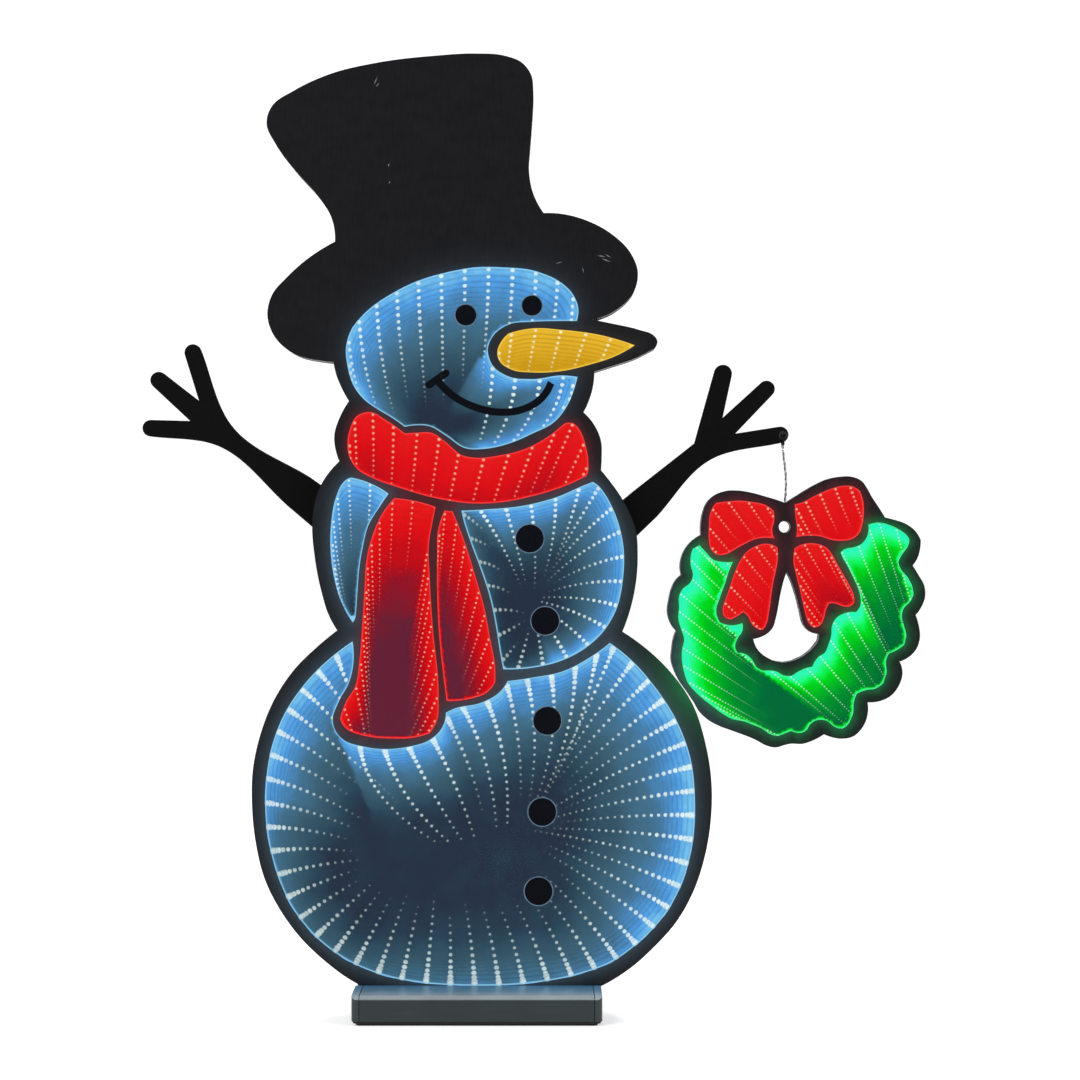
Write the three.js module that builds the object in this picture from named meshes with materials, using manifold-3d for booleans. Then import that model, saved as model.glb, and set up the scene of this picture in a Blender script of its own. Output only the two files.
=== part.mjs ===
// A free-standing LED infinity-mirror snowman: a flat lit panel in a metal foot, with twig arms
// behind it and a small lit wreath that hangs from the right hand by its lead.
// Millimetres. +Z is up, the front faces -Y, and the origin is the centre of the foot's underside.
import * as THREE from "three";
import { mergeVertices } from "three/addons/utils/BufferGeometryUtils.js";
import Module from "manifold-3d";

const wasm = await Module();
wasm.setup();

// ---- Driving dimensions ----
const MAX_TURN = 0.42; // the most an outline may turn in one step, in radians
const BOND = 0.1; // the glue line between two layers of a panel
const FIT = 0.3; // the gap between pieces that slide together

const PANEL_FRONT = -12; // y of the printed film's face
const PANEL = { film: 0.4, sheet: 2, frame: 13, mirror: 1.5 };
const COVER_PLATE = 2;
const COVER_CAVITY = 4.1; // wiring space behind the mirror
const COVER_RIM = 6; // width of the cover's edge wall
const BAY = { panel: 1, wreath: 0.6 }; // how far the frame stands back from a window's edge
const STRIP = { panel: 0.6, wreath: 0.4 }; // thickness of the LED strips
const STRIP_WIDTH = { panel: 10, wreath: 7 };
const SCREW = { head: 3, headHeight: 1.6, shank: 1.4, hole: 1.6 };

const ARM_THICKNESS = 5;
const LEAD_RADIUS = 0.9;
const WREATH = { film: 0.4, sheet: 1.5, frame: 9, mirror: 1, cover: 1.5 };

const BASE = { width: 167, depth: 120, height: 20, wall: 2.5, chamfer: 2.5, corner: 3.5, cap: 5 };
const PAD_THICKNESS = 1.5;
const BOTTOM_PLATE = 1.3;
const SLOT_FLOOR = 5.2; // z of the floor that the panel stands on
const BASE_SCREW = { x: 30, head: 3.6, shank: 2, hole: 2.2, top: 15 };

// ---- Depths worked out from them ----
const SHEET_FRONT = PANEL_FRONT + PANEL.film + BOND;
const FRAME_FRONT = SHEET_FRONT + PANEL.sheet + BOND;
const FRAME_BACK = FRAME_FRONT + PANEL.frame;
const MIRROR_FRONT = FRAME_BACK + BOND;
const MIRROR_BACK = MIRROR_FRONT + PANEL.mirror;
const COVER_INSIDE = MIRROR_BACK + COVER_CAVITY;
const COVER_BACK = COVER_INSIDE + COVER_PLATE;
const FRAME_MIDDLE = (FRAME_FRONT + FRAME_BACK) / 2;
const ARM_FRONT = COVER_BACK + BOND;
const ARM_BACK = ARM_FRONT + ARM_THICKNESS;
const ARM_MIDDLE = (ARM_FRONT + ARM_BACK) / 2;
const WREATH_DEPTH = WREATH.film + WREATH.sheet + WREATH.frame + WREATH.mirror + WREATH.cover + 4 * BOND;
const WREATH_FRONT = ARM_MIDDLE - WREATH_DEPTH / 2;

// ---- Materials ----
const paint = (color, roughness, metalness = 0) =>
  new THREE.MeshStandardMaterial({ color, roughness, metalness });
const MATERIALS = {
  print: paint(0x17171a, 0.35),
  sheet: paint(0x31506b, 0.08, 0.5),
  frame: paint(0x242427, 0.6),
  mirror: paint(0xb9c4cc, 0.05, 1),
  cover: paint(0x1c1c1f, 0.65),
  arm: paint(0x151518, 0.5),
  whiteLed: paint(0x9fdcff, 0.4),
  redLed: paint(0xff1a12, 0.4),
  amberLed: paint(0xffb020, 0.4),
  greenLed: paint(0x18e048, 0.4),
  board: paint(0x14532d, 0.5),
  wire: paint(0x2a2a2c, 0.5),
  lead: paint(0xa9a9ad, 0.4),
  base: paint(0x4a5254, 0.35, 0.8),
  cap: paint(0x3c4244, 0.5),
  pad: paint(0x101011, 0.9),
  steel: paint(0x9a9da0, 0.3, 1),
};

const snowman = new THREE.Group();

function add(name, geometry, material) {
  const mesh = new THREE.Mesh(geometry, MATERIALS[material]);
  mesh.name = name;
  snowman.add(mesh);
}

// ---- Solids ----
function solidOf(geometry) {
  const bare = geometry.clone();
  bare.deleteAttribute("normal");
  bare.deleteAttribute("uv");
  const merged = mergeVertices(bare, 1e-4);
  return new wasm.Manifold(
    new wasm.Mesh({
      numProp: 3,
      vertProperties: new Float32Array(merged.attributes.position.array),
      triVerts: new Uint32Array(merged.index.array),
    }),
  );
}

function geometryOf(solid) {
  const mesh = solid.getMesh();
  const geometry = new THREE.BufferGeometry();
  geometry.setAttribute("position", new THREE.BufferAttribute(mesh.vertProperties, 3));
  geometry.setIndex(new THREE.BufferAttribute(mesh.triVerts, 1));
  return geometry;
}

function unite(geometries) {
  return geometryOf(geometries.map(solidOf).reduce((whole, next) => whole.add(next)));
}

function cut(geometry, cutters) {
  return geometryOf(cutters.map(solidOf).reduce((whole, next) => whole.subtract(next), solidOf(geometry)));
}

// A flat board in the XZ plane between two depths, from an outline and its holes.
function board(outline, holes, front, back) {
  const shape = new THREE.Shape(THREE.ShapeUtils.isClockWise(outline) ? outline.toReversed() : outline);
  shape.holes = holes.map((hole) => new THREE.Path(hole));
  const geometry = new THREE.ExtrudeGeometry(shape, { depth: back - front, bevelEnabled: false });
  return geometry.rotateX(Math.PI / 2).translate(0, back, 0);
}

function box([x0, y0, z0], [x1, y1, z1]) {
  const geometry = new THREE.BoxGeometry(x1 - x0, y1 - y0, z1 - z0);
  return geometry.translate((x0 + x1) / 2, (y0 + y1) / 2, (z0 + z1) / 2);
}

// A round bar along Y.
function barY([x, z], radius, front, back, sides = 12) {
  const length = back - front;
  return new THREE.CylinderGeometry(radius, radius, length, sides).translate(x, front + length / 2, z);
}

// A round bar along Z.
function barZ([x, y], radius, low, high, sides = 12) {
  return new THREE.CylinderGeometry(radius, radius, high - low, sides)
    .rotateX(Math.PI / 2)
    .translate(x, y, (low + high) / 2);
}

function tube(points, radius, steps, sides = 8) {
  const path = new THREE.CatmullRomCurve3(points.map((p) => new THREE.Vector3(...p)), false, "centripetal");
  const section = new THREE.Shape(circle([0, 0], radius, sides));
  return new THREE.ExtrudeGeometry(section, { steps, extrudePath: path, bevelEnabled: false });
}

// ---- Outlines ----
function circle([x, z], radius, sides) {
  return Array.from({ length: sides }, (_, i) => {
    const turn = (2 * Math.PI * i) / sides;
    return new THREE.Vector2(x + radius * Math.cos(turn), z + radius * Math.sin(turn));
  });
}

// A smooth curve through the points of one side, with more steps where it turns faster.
function smoothSide(points) {
  const flat = points.map(([x, z]) => new THREE.Vector3(x, z, 0));
  const curve = new THREE.CatmullRomCurve3(flat, false, "centripetal");
  const spans = points.length - 1;
  const samples = [];
  for (let span = 0; span < spans; span++) {
    const turn = curve.getTangent(span / spans).angleTo(curve.getTangent((span + 1) / spans));
    const steps = Math.max(1, Math.round(turn / MAX_TURN));
    for (let step = 0; step < steps; step++) {
      const { x, y } = curve.getPoint((span + step / steps) / spans);
      samples.push(new THREE.Vector2(x, y));
    }
  }
  return samples;
}

// A closed outline: each side starts at a corner and runs smoothly to the next side's corner.
function outlineOf(sides) {
  return sides.flatMap((side, i) => smoothSide([...side, sides[(i + 1) % sides.length][0]]));
}

// The same outline moved outwards, or inwards where the distance is negative.
function offset(outline, distance) {
  const sign = THREE.ShapeUtils.area(outline) > 0 ? 1 : -1;
  const sharpest = 2.5;
  return outline.map((point, i) => {
    const before = outline[(i + outline.length - 1) % outline.length];
    const after = outline[(i + 1) % outline.length];
    const incoming = point.clone().sub(before).normalize();
    const outgoing = after.clone().sub(point).normalize();
    const normal = new THREE.Vector2(incoming.y + outgoing.y, -incoming.x - outgoing.x).normalize();
    const slant = normal.dot(new THREE.Vector2(outgoing.y, -outgoing.x));
    const reach = Math.min(sharpest, 1 / Math.max(slant, 0.1));
    return point.clone().addScaledVector(normal, sign * distance * reach);
  });
}

// A bar with round ends whose radius changes from one end to the other.
function taperedBar([ax, az], ar, [bx, bz], br) {
  const lean = Math.atan2(bz - az, bx - ax);
  const endSteps = 7;
  const arc = (x, z, radius, start) =>
    Array.from({ length: endSteps + 1 }, (_, i) => {
      const turn = start + (Math.PI * i) / endSteps;
      return new THREE.Vector2(x + radius * Math.cos(turn), z + radius * Math.sin(turn));
    });
  return [...arc(ax, az, ar, lean + Math.PI / 2), ...arc(bx, bz, br, lean - Math.PI / 2)];
}

// A band of even width along a smooth line.
function stroke(points, width) {
  const line = smoothSide(points);
  line.push(new THREE.Vector2(...points.at(-1)));
  const sideAt = (i, sign) => {
    const along = line[Math.min(i + 1, line.length - 1)].clone().sub(line[Math.max(i - 1, 0)]).normalize();
    return line[i].clone().add(new THREE.Vector2(along.y, -along.x).multiplyScalar((sign * width) / 2));
  };
  return [...line.map((_, i) => sideAt(i, 1)), ...line.map((_, i) => sideAt(i, -1)).reverse()];
}

// The whole front, clockwise from the hat: its sides, of which one is the carrot's tip.
const CARROT_SIDE = 2;
const SILHOUETTE_SIDES = [
  [
    [-97.5, 526], [-100, 542.5], [-107.5, 555], [-125, 575], [-138, 592.5], [-144, 606], [-140.5, 618],
    [-125, 629], [-102.5, 639.5], [-67.5, 648], [-29.5, 652.5], [-2, 654], [18, 652.5], [29.5, 648],
    [36, 639.5], [37.5, 628], [37, 613], [35.5, 592.5], [34.5, 575], [37, 560],
  ],
  [[44.5, 545.5], [56, 545], [73.5, 540.5], [91, 531], [103.5, 518.5], [108.5, 506], [106, 492], [96, 481]],
  [
    [77.5, 473], [90, 470.5], [109.5, 466], [119, 462.5], [122, 458], [119.5, 453], [106.5, 446.5],
    [91.5, 441.5],
  ],
  [[79, 437.5], [78.5, 430], [75, 420]],
  [[71.5, 410], [78.5, 402], [83.5, 390.5], [84, 379]],
  [
    [83.5, 370.5], [90, 362.5], [97, 352.5], [103.5, 340], [107, 330.5], [108.5, 313], [107, 292],
    [103.5, 276],
  ],
  [
    [98, 260.5], [113, 250], [130.5, 233.5], [146, 211], [154.5, 185], [158.5, 161], [158.5, 135],
    [154.5, 109], [146, 83], [135, 63.5], [119.5, 46], [102.5, 31], [80.5, 18], [42, 8.5], [-2, 5.5],
    [-46, 9], [-84, 22], [-105.5, 37.5], [-121, 52.5], [-134, 70], [-145, 91.5], [-151.5, 117.5],
    [-154, 143.5], [-153.5, 165.5], [-148, 191.5], [-138.5, 215], [-125.5, 234.5], [-110, 250],
  ],
  [
    [-96, 261.5], [-102, 272.5], [-106.5, 287], [-111.5, 313], [-113, 332], [-112, 344], [-107, 360.5],
    [-101.5, 369],
  ],
  [[-94.5, 376.5], [-97, 384], [-98, 393.5], [-94, 407]],
  [[-88, 417.5], [-93, 426.5], [-96.5, 435]],
  [
    [-98.5, 444], [-107.5, 445], [-125, 449.5], [-139, 462], [-143.5, 476], [-140.5, 489.5],
    [-130, 502], [-112.5, 515],
  ],
];
const SILHOUETTE = outlineOf(SILHOUETTE_SIDES);
// The space inside the cover stops short of the thin carrot tip.
const INNER_SIDES = SILHOUETTE_SIDES.map((side, i) => (i === CARROT_SIDE ? [side[0]] : side));
const INNER_OUTLINE = outlineOf(INNER_SIDES);

// The lit windows of the front, each named for its cell.
const CELLS = {
  head: outlineOf([
    [
      [67, 472], [68, 481], [63.5, 491.5], [53.5, 500], [37, 506.5], [17.5, 508.5], [-2.5, 508.5],
      [-22, 505], [-42, 499], [-60, 490], [-75, 479.5], [-86.5, 466], [-90, 454.5], [-89, 441.5],
      [-84, 426.5], [-77.5, 418.5], [-68.5, 412], [-60, 407],
    ],
    [[-50, 400], [-43.5, 401], [-33.5, 400.5], [-22, 394]],
    [[-9, 385.5], [4, 385], [20.5, 388.5], [37, 395.5], [52, 403.5], [60, 413.5], [65, 425]],
    [
      [67.5, 434], [57, 435], [37, 432.5], [19, 435], [10, 441.5], [6.5, 453], [11, 463],
      [20.5, 469.5], [37, 471.5], [52.5, 472],
    ],
  ]),
  nose: outlineOf([
    [
      [106.5, 455.5], [93, 448], [76.5, 442.5], [57, 438], [37, 437], [22.5, 439], [15, 444],
      [13, 451.5], [20.5, 463.5], [37, 467], [57, 466], [85, 462],
    ],
  ]),
  collar: outlineOf([
    [
      [-50, 395.5], [-42, 396], [-32, 396], [-22, 389.5], [-10.5, 380.5], [-2.5, 379], [14, 380.5],
      [30.5, 384.5], [47, 393], [58.5, 402], [64.5, 402.5], [69.5, 397], [73.5, 385.5], [75, 374],
      [73.5, 366.5], [57, 359], [35.5, 352.5], [14, 348.5], [-5.5, 348], [-29, 351.5], [-55, 359],
      [-71.5, 365], [-82.5, 371.5], [-88, 380.5], [-89, 390.5], [-83, 407], [-73, 410], [-63.5, 405],
    ],
  ]),
  torso_left: outlineOf([
    [[-61, 354.5], [-66.5, 346.5], [-74.5, 333.5], [-79, 316], [-81.5, 292], [-83.5, 271]],
    [
      [-85.5, 267], [-93, 280.5], [-98, 297], [-100.5, 316], [-100, 335.5], [-97, 351.5], [-92, 362],
      [-86.5, 365.5], [-74.5, 362],
    ],
  ]),
  torso_right: outlineOf([
    [
      [-11.5, 343], [7.5, 344], [31.5, 346.5], [55.5, 353], [71.5, 360], [78, 362.5], [86, 354.5],
      [94, 338.5], [99, 316], [98.5, 297], [94, 276], [84.5, 260], [71.5, 248.5], [55.5, 240.5],
      [39.5, 236.5],
    ],
    [[17, 235], [14.5, 248.5], [12, 264.5], [7.5, 285.5], [1, 305], [-5.5, 322.5], [-10.5, 338.5]],
  ]),
  scarf_tail_left: outlineOf([
    [[-57, 351.5], [-42.5, 349.5]],
    [
      [-29, 345.5], [-31, 335.5], [-33.5, 321], [-33, 297], [-31, 264.5], [-29, 240.5], [-27, 216.5],
      [-28, 200.5], [-33, 191.5], [-44, 188.5], [-60, 188], [-76, 189.5], [-89, 194], [-94, 201.5],
      [-90.5, 212], [-84, 223], [-81, 240.5], [-79, 264.5], [-77.5, 289], [-75.5, 313], [-71.5, 327.5],
      [-65, 341.5],
    ],
  ]),
  scarf_tail_right: outlineOf([
    [[-23, 343], [-17.5, 342.5]],
    [
      [-14.5, 335.5], [-8.5, 319.5], [-2.5, 300], [4, 277.5], [8, 256.5], [11.5, 236], [11.5, 226],
      [5.5, 219], [-5.5, 215],
    ],
    [[-21.5, 213.5], [-24, 232.5], [-26.5, 256.5], [-27.5, 289], [-28, 313], [-27.5, 329]],
  ]),
  belly: outlineOf([
    [
      [-85.5, 254], [-101.5, 242], [-119, 224], [-132, 204.5], [-140.5, 182.5], [-145, 152.5],
      [-143.5, 122], [-137, 96], [-127.5, 74], [-112.5, 54.5], [-90.5, 37.5], [-64.5, 26.5],
      [-38.5, 21.5], [-1.5, 19.5], [33, 21], [65.5, 26.5], [89.5, 35], [111, 50.5], [128.5, 70],
      [139.5, 91.5], [146, 117.5], [147.5, 143.5], [144.5, 174], [135, 200], [119.5, 224], [104.5, 241],
    ],
    [[89.5, 253], [76.5, 243.5], [57, 233.5], [37.5, 229.5]],
    [
      [20, 227], [14.5, 219.5], [2.5, 212.5], [-17, 208], [-22, 205.5], [-24.5, 195.5], [-34, 186.5],
      [-47, 182.5],
      [-75.5, 182], [-94, 189], [-99, 200], [-95, 213], [-88, 226], [-86.5, 243.5],
    ],
  ]),
};
const CELL_LED = {
  head: "whiteLed",
  nose: "amberLed",
  collar: "redLed",
  torso_left: "whiteLed",
  torso_right: "whiteLed",
  scarf_tail_left: "redLed",
  scarf_tail_right: "redLed",
  belly: "whiteLed",
};

// A lightening window in the frame behind the hat's crown.
const CROWN_POCKET = outlineOf([
  [
    [-84, 530], [-90, 547], [-113, 577], [-128, 603], [-118, 617], [-70, 633],
    [0, 641], [22, 637], [25, 620], [21, 575], [28, 548], [10, 526], [-40, 524],
  ],
]);

const EYES = { left: [[-8.5, 476], 7.1], right: [[36.5, 482.5], 6.8] };
const BUTTONS = [[35, 324], [45.5, 268], [47, 200], [43.5, 138], [41, 84]];
const BUTTON_RADIUS = 9.5;
const SMILE = [[-28, 431.5], [-15.5, 420], [-2.5, 413.5], [14, 410], [30.5, 412], [43, 419.5], [49.5, 430]];
const SMILE_WIDTH = 5;
const CHEEK_LINE = [[-33.5, 428.5], [-22, 436.5]];

// Where screws hold the cover to the frame, and the arms to the cover.
const COVER_SCREWS = [
  [-5, 651], [105.3, 506], [-140.3, 478], [104, 293], [-104, 288], [155.4, 149], [-151, 149],
];
const ARMS = {
  left: {
    fingers: [[[-197, 452], 5.8], [[-220.5, 433], 5.8], [[-226, 400], 5.7]],
    palm: [[-177, 396], 8.4],
    shoulder: [[-123, 355.5], 12.6],
    root: [[-80, 322], 15],
    screws: [[-97, 335], [-79, 321]],
  },
  right: {
    fingers: [[[168, 437.5], 6.2], [[198, 427], 5.7], [[207.5, 395.5], 5.6]],
    palm: [[155, 385], 7.8],
    shoulder: [[114, 347.5], 12],
    root: [[72, 310], 14],
    screws: [[91, 327], [72, 310]],
  },
};
const LEAD_HOLE = { at: [209.3, 395], radius: 2.1 };

// ---- The panel ----
function makeFront() {
  const windows = Object.values(CELLS);
  add("front_print_film", board(SILHOUETTE, windows, PANEL_FRONT, PANEL_FRONT + PANEL.film), "print");
  add("front_mirror_sheet", board(SILHOUETTE, [], SHEET_FRONT, SHEET_FRONT + PANEL.sheet), "sheet");
}

function makeMarks() {
  const back = PANEL_FRONT + PANEL.film;
  const dot = (centre, radius) => board(circle(centre, radius, 18), [], PANEL_FRONT, back);
  for (const [side, [centre, radius]] of Object.entries(EYES))
    add(`eye_${side}`, dot(centre, radius), "print");
  BUTTONS.forEach((centre, i) => add(`coal_button_${i + 1}`, dot(centre, BUTTON_RADIUS), "print"));
  const mouth = board(stroke(SMILE, SMILE_WIDTH), [], PANEL_FRONT, back);
  const [from, to] = CHEEK_LINE;
  const cheek = board(taperedBar(from, SMILE_WIDTH / 2, to, SMILE_WIDTH / 2), [], PANEL_FRONT, back);
  add("smile", unite([mouth, cheek]), "print");
}

function makeFrame() {
  const bays = Object.values(CELLS).map((cell) => offset(cell, BAY.panel));
  const frame = board(SILHOUETTE, [...bays, CROWN_POCKET], FRAME_FRONT, FRAME_BACK);
  const screwDepth = 7;
  const holes = COVER_SCREWS.map((at) => barY(at, SCREW.hole, FRAME_BACK - screwDepth, FRAME_BACK + 1, 8));
  for (const side of [-1, 1])
    holes.push(barZ([side * BASE_SCREW.x, FRAME_MIDDLE], BASE_SCREW.hole, 0, BASE_SCREW.top + 1, 8));
  add("cell_frame", cut(frame, holes), "frame");
}

function ledStrip(cell, size, front, width) {
  const side = (BAY[size] - STRIP[size]) / 2;
  const outer = offset(cell, BAY[size] - side);
  const inner = offset(cell, side);
  return board(outer, [inner], front, front + width);
}

function makeStrips() {
  const front = FRAME_MIDDLE - STRIP_WIDTH.panel / 2;
  for (const [name, cell] of Object.entries(CELLS))
    add(`led_strip_${name}`, ledStrip(cell, "panel", front, STRIP_WIDTH.panel), CELL_LED[name]);
}

const GROMMET = { at: [50, 290], hole: 4, flange: 6.5, bore: 1.3 };
const INLET = { x: 0, low: 44, high: 62, width: 20, depth: 12, socket: 3.2, socketDepth: 11, pin: 0.9 };

function makeBack() {
  const inside = offset(INNER_OUTLINE, -COVER_RIM);
  const mirror = offset(INNER_OUTLINE, -COVER_RIM - FIT);
  add("back_mirror_sheet", board(mirror, [], MIRROR_FRONT, MIRROR_BACK), "mirror");
  const plate = board(SILHOUETTE, [], COVER_INSIDE, COVER_BACK);
  const rim = board(SILHOUETTE, [inside], MIRROR_FRONT, COVER_INSIDE);
  const through = (at, radius) => barY(at, radius, MIRROR_FRONT - 1, COVER_BACK + 1, 8);
  const holes = COVER_SCREWS.map((at) => through(at, SCREW.hole));
  for (const arm of Object.values(ARMS)) holes.push(...arm.screws.map((at) => through(at, SCREW.hole)));
  holes.push(through(GROMMET.at, GROMMET.hole + FIT));
  add("rear_cover", cut(unite([plate, rim]), holes), "cover");
  COVER_SCREWS.forEach((at, i) => add(`cover_screw_${i + 1}`, screw(at, COVER_BACK, 12), "steel"));
}

// A pan-head screw pointing towards the front, with its head on the given face.
function screw([x, z], face, length) {
  const profile = [
    [0, -length],
    [SCREW.shank, -length],
    [SCREW.shank, 0.1],
    [SCREW.head, 0.1],
    [SCREW.head * 0.85, SCREW.headHeight * 0.75],
    [0, SCREW.headHeight],
  ].map(([r, y]) => new THREE.Vector2(r, y));
  return new THREE.LatheGeometry(profile, 8).translate(x, face, z);
}

function makeElectrics() {
  const boardBack = COVER_INSIDE - FIT;
  const boardFront = boardBack - 1.6;
  const chips = [
    box([-8, boardFront - 1.2, 78], [4, boardFront + 0.2, 88]),
    box([12, boardFront - 1.4, 70], [24, boardFront + 0.2, 76]),
    box([-26, boardFront - 1.4, 94], [-14, boardFront + 0.2, 100]),
  ];
  add("control_board", unite([box([-30, boardFront, 66], [30, boardBack, 104]), ...chips]), "board");

  const ribbonFront = boardFront - 0.2;
  const ribbonBack = ribbonFront + 1.2;
  const ribbon = (low, high) => box([low[0], ribbonFront, low[1]], [high[0], ribbonBack, high[1]]);
  const branches = [
    ribbon([-5, 105], [5, 480]),
    ribbon([4, 286], [44, 292]),
    ribbon([-60, 320], [-4, 326]),
    ribbon([-40, 372], [-4, 378]),
    ribbon([4, 452], [36, 458]),
  ];
  add("wiring_harness", unite(branches), "wire");

  const { x, low, high, width, depth, socket, socketDepth, pin } = INLET;
  const inletFront = COVER_BACK + BOND;
  const middle = inletFront + depth / 2;
  const housing = box([x - width / 2, inletFront, low], [x + width / 2, inletFront + depth, high]);
  const bore = barZ([x, middle], socket, low - 1, low + socketDepth, 16);
  const post = barZ([x, middle], pin, low + 2, low + socketDepth + 1, 8);
  add("dc_inlet", unite([cut(housing, [bore]), post]), "cap");
}

function armBoard({ fingers, palm, shoulder, root }) {
  const bar = (a, b) => board(taperedBar(a[0], a[1], b[0], b[1]), [], ARM_FRONT, ARM_BACK);
  const forearm = [bar(root, shoulder), bar(shoulder, palm)];
  return unite([...forearm, ...fingers.map((finger) => bar(palm, finger))]);
}

function makeArms() {
  for (const [side, arm] of Object.entries(ARMS)) {
    const holes = arm.screws.map((at) => barY(at, SCREW.hole, ARM_FRONT - 1, ARM_BACK + 1, 8));
    if (side === "right") holes.push(barY(LEAD_HOLE.at, LEAD_HOLE.radius, ARM_FRONT - 1, ARM_BACK + 1));
    add(`twig_arm_${side}`, cut(armBoard(arm), holes), "arm");
    arm.screws.forEach((at, i) => add(`arm_screw_${side}_${i + 1}`, screw(at, ARM_BACK, 6.5), "steel"));
  }
}

// The wreath's lead runs clipped along the back of the right arm and through the cover.
const LEAD_Y = ARM_BACK + FIT + LEAD_RADIUS;
const LEAD_ROUTE = [
  [205.5, 396], [190, 393], [173.5, 390.7], [157, 388.4], [135, 370], [121.5, 359], [108, 348],
  [82, 325],
];

function makeLead() {
  const [gx, gz] = GROMMET.at;
  const route = LEAD_ROUTE.map(([x, z]) => [x, LEAD_Y + 0.4, z]);
  route.push([62, LEAD_Y + 1, 307], [53, LEAD_Y + 1, 296]);
  route.push([gx, LEAD_Y - 3, gz], [gx, COVER_INSIDE + 0.5, gz]);
  add("arm_lead", tube(route, LEAD_RADIUS, 44), "lead");

  const { hole, flange, bore } = GROMMET;
  const collar = barY(GROMMET.at, flange, COVER_BACK + BOND, COVER_BACK + 2);
  const body = barY(GROMMET.at, hole, COVER_INSIDE + 0.2, COVER_BACK + 1);
  const centre = barY(GROMMET.at, bore, COVER_INSIDE - 1, COVER_BACK + 3, 8);
  add("lead_grommet", cut(unite([collar, body]), [centre]), "pad");

  [[LEAD_ROUTE[4], LEAD_ROUTE[6]], [LEAD_ROUTE[1], LEAD_ROUTE[3]]].forEach(([a, b], i) => {
    const middle = [(a[0] + b[0]) / 2, (a[1] + b[1]) / 2];
    const lean = Math.atan2(b[1] - a[1], b[0] - a[0]);
    const saddle = box([-3, 0, -3.4], [3, 3.4, 3.4]);
    const channel = box([-4, -1, -1.6], [4, 2.6, 1.6]);
    const clip = cut(saddle, [channel]).rotateY(-lean).translate(middle[0], ARM_BACK + BOND, middle[1]);
    add(`lead_clip_${i + 1}`, clip, "pad");
  });
}

// ---- What hangs from the fingertip ----
const LOOP_RADIUS = 4.2;
const LOOP_LOW = LEAD_HOLE.at[1] - 2 * LOOP_RADIUS;
const LOOP_GAP = 0.6; // lets the hanging lead sway under its loop

function makeHangingLead() {
  const [x, z] = LEAD_HOLE.at;
  const loop = new THREE.TorusGeometry(LOOP_RADIUS, LEAD_RADIUS, 8, 20).rotateY(Math.PI / 2);
  add("lead_loop", loop.translate(x, ARM_MIDDLE, z - LOOP_RADIUS), "lead");
  const top = LOOP_LOW - LEAD_RADIUS - LOOP_GAP;
  const bottom = WREATH_NOTCH[1] + 0.6;
  const route = [
    [x, ARM_MIDDLE, top],
    [x + 0.5, ARM_MIDDLE, (top + bottom) / 2],
    [WREATH_NOTCH[0], ARM_MIDDLE, bottom],
  ];
  add("hanging_lead", tube(route, LEAD_RADIUS, 10), "lead");
}

const WREATH_NOTCH = [210.5, 348.5];
const WREATH_OUTLINE = outlineOf([
  [
    WREATH_NOTCH, [220, 354.5], [231, 361], [240, 365], [248, 366.5], [256, 366.5], [263, 363.5],
    [267, 358], [270, 352.5], [274, 346.5],
  ],
  [[279, 338.5], [285, 337], [293.5, 334], [299.5, 329.5], [303.5, 323], [303, 316.5], [301, 310]],
  [[298, 305.5], [302, 299], [306, 291.5], [306.5, 284], [304.5, 278]],
  [[300, 271.5], [302, 265], [303, 256.5], [301, 249], [296.5, 243.5]],
  [[289, 239.5], [291, 232], [288.5, 223], [283, 216], [276, 212.5]],
  [[267, 211.5], [267, 203], [263, 193.5], [257, 188], [249.5, 186.5], [242.5, 187.5]],
  [[237, 189.5], [231, 186], [222.5, 183], [213.5, 183]],
  [
    [209.5, 182], [204, 180.5], [197, 182], [190.5, 185.5], [183, 188.5], [174, 192], [164.5, 195.5],
    [156, 200.5], [151.5, 205], [148, 211], [143, 218.5], [138, 225.5], [134, 233.5],
  ],
  [[132, 241], [132.5, 247.5], [133.5, 254.5]],
  [[135.5, 260.5], [131.5, 266], [129.5, 274], [130.5, 282], [132.5, 290], [135, 295]],
  [[139, 299], [138.5, 308], [141, 315.5], [146, 322]],
  [
    [152.5, 326.5], [152.5, 334], [154, 342.5], [156.5, 348.5], [161.5, 353.5], [168.5, 356.5],
    [178, 357], [187.5, 355.5], [196.5, 353], [205, 350.5],
  ],
]);
const WREATH_OPENING = outlineOf([
  [[211.5, 301], [214.5, 294.5], [218, 284], [220.5, 274], [223.5, 264], [226, 261]],
  [
    [233.5, 258.5], [233, 254], [228, 247.5], [222, 243], [215, 240], [209, 239], [202.5, 240],
    [196, 243.5], [191, 248.5],
  ],
  [
    [188.5, 255], [194, 256.5], [198.5, 259], [202, 263], [204, 269.5], [205.5, 277], [207.5, 287.5],
    [209.5, 295.5],
  ],
]);
const KNOT_HOLE = circle([210, 332], 4, 12);
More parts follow.
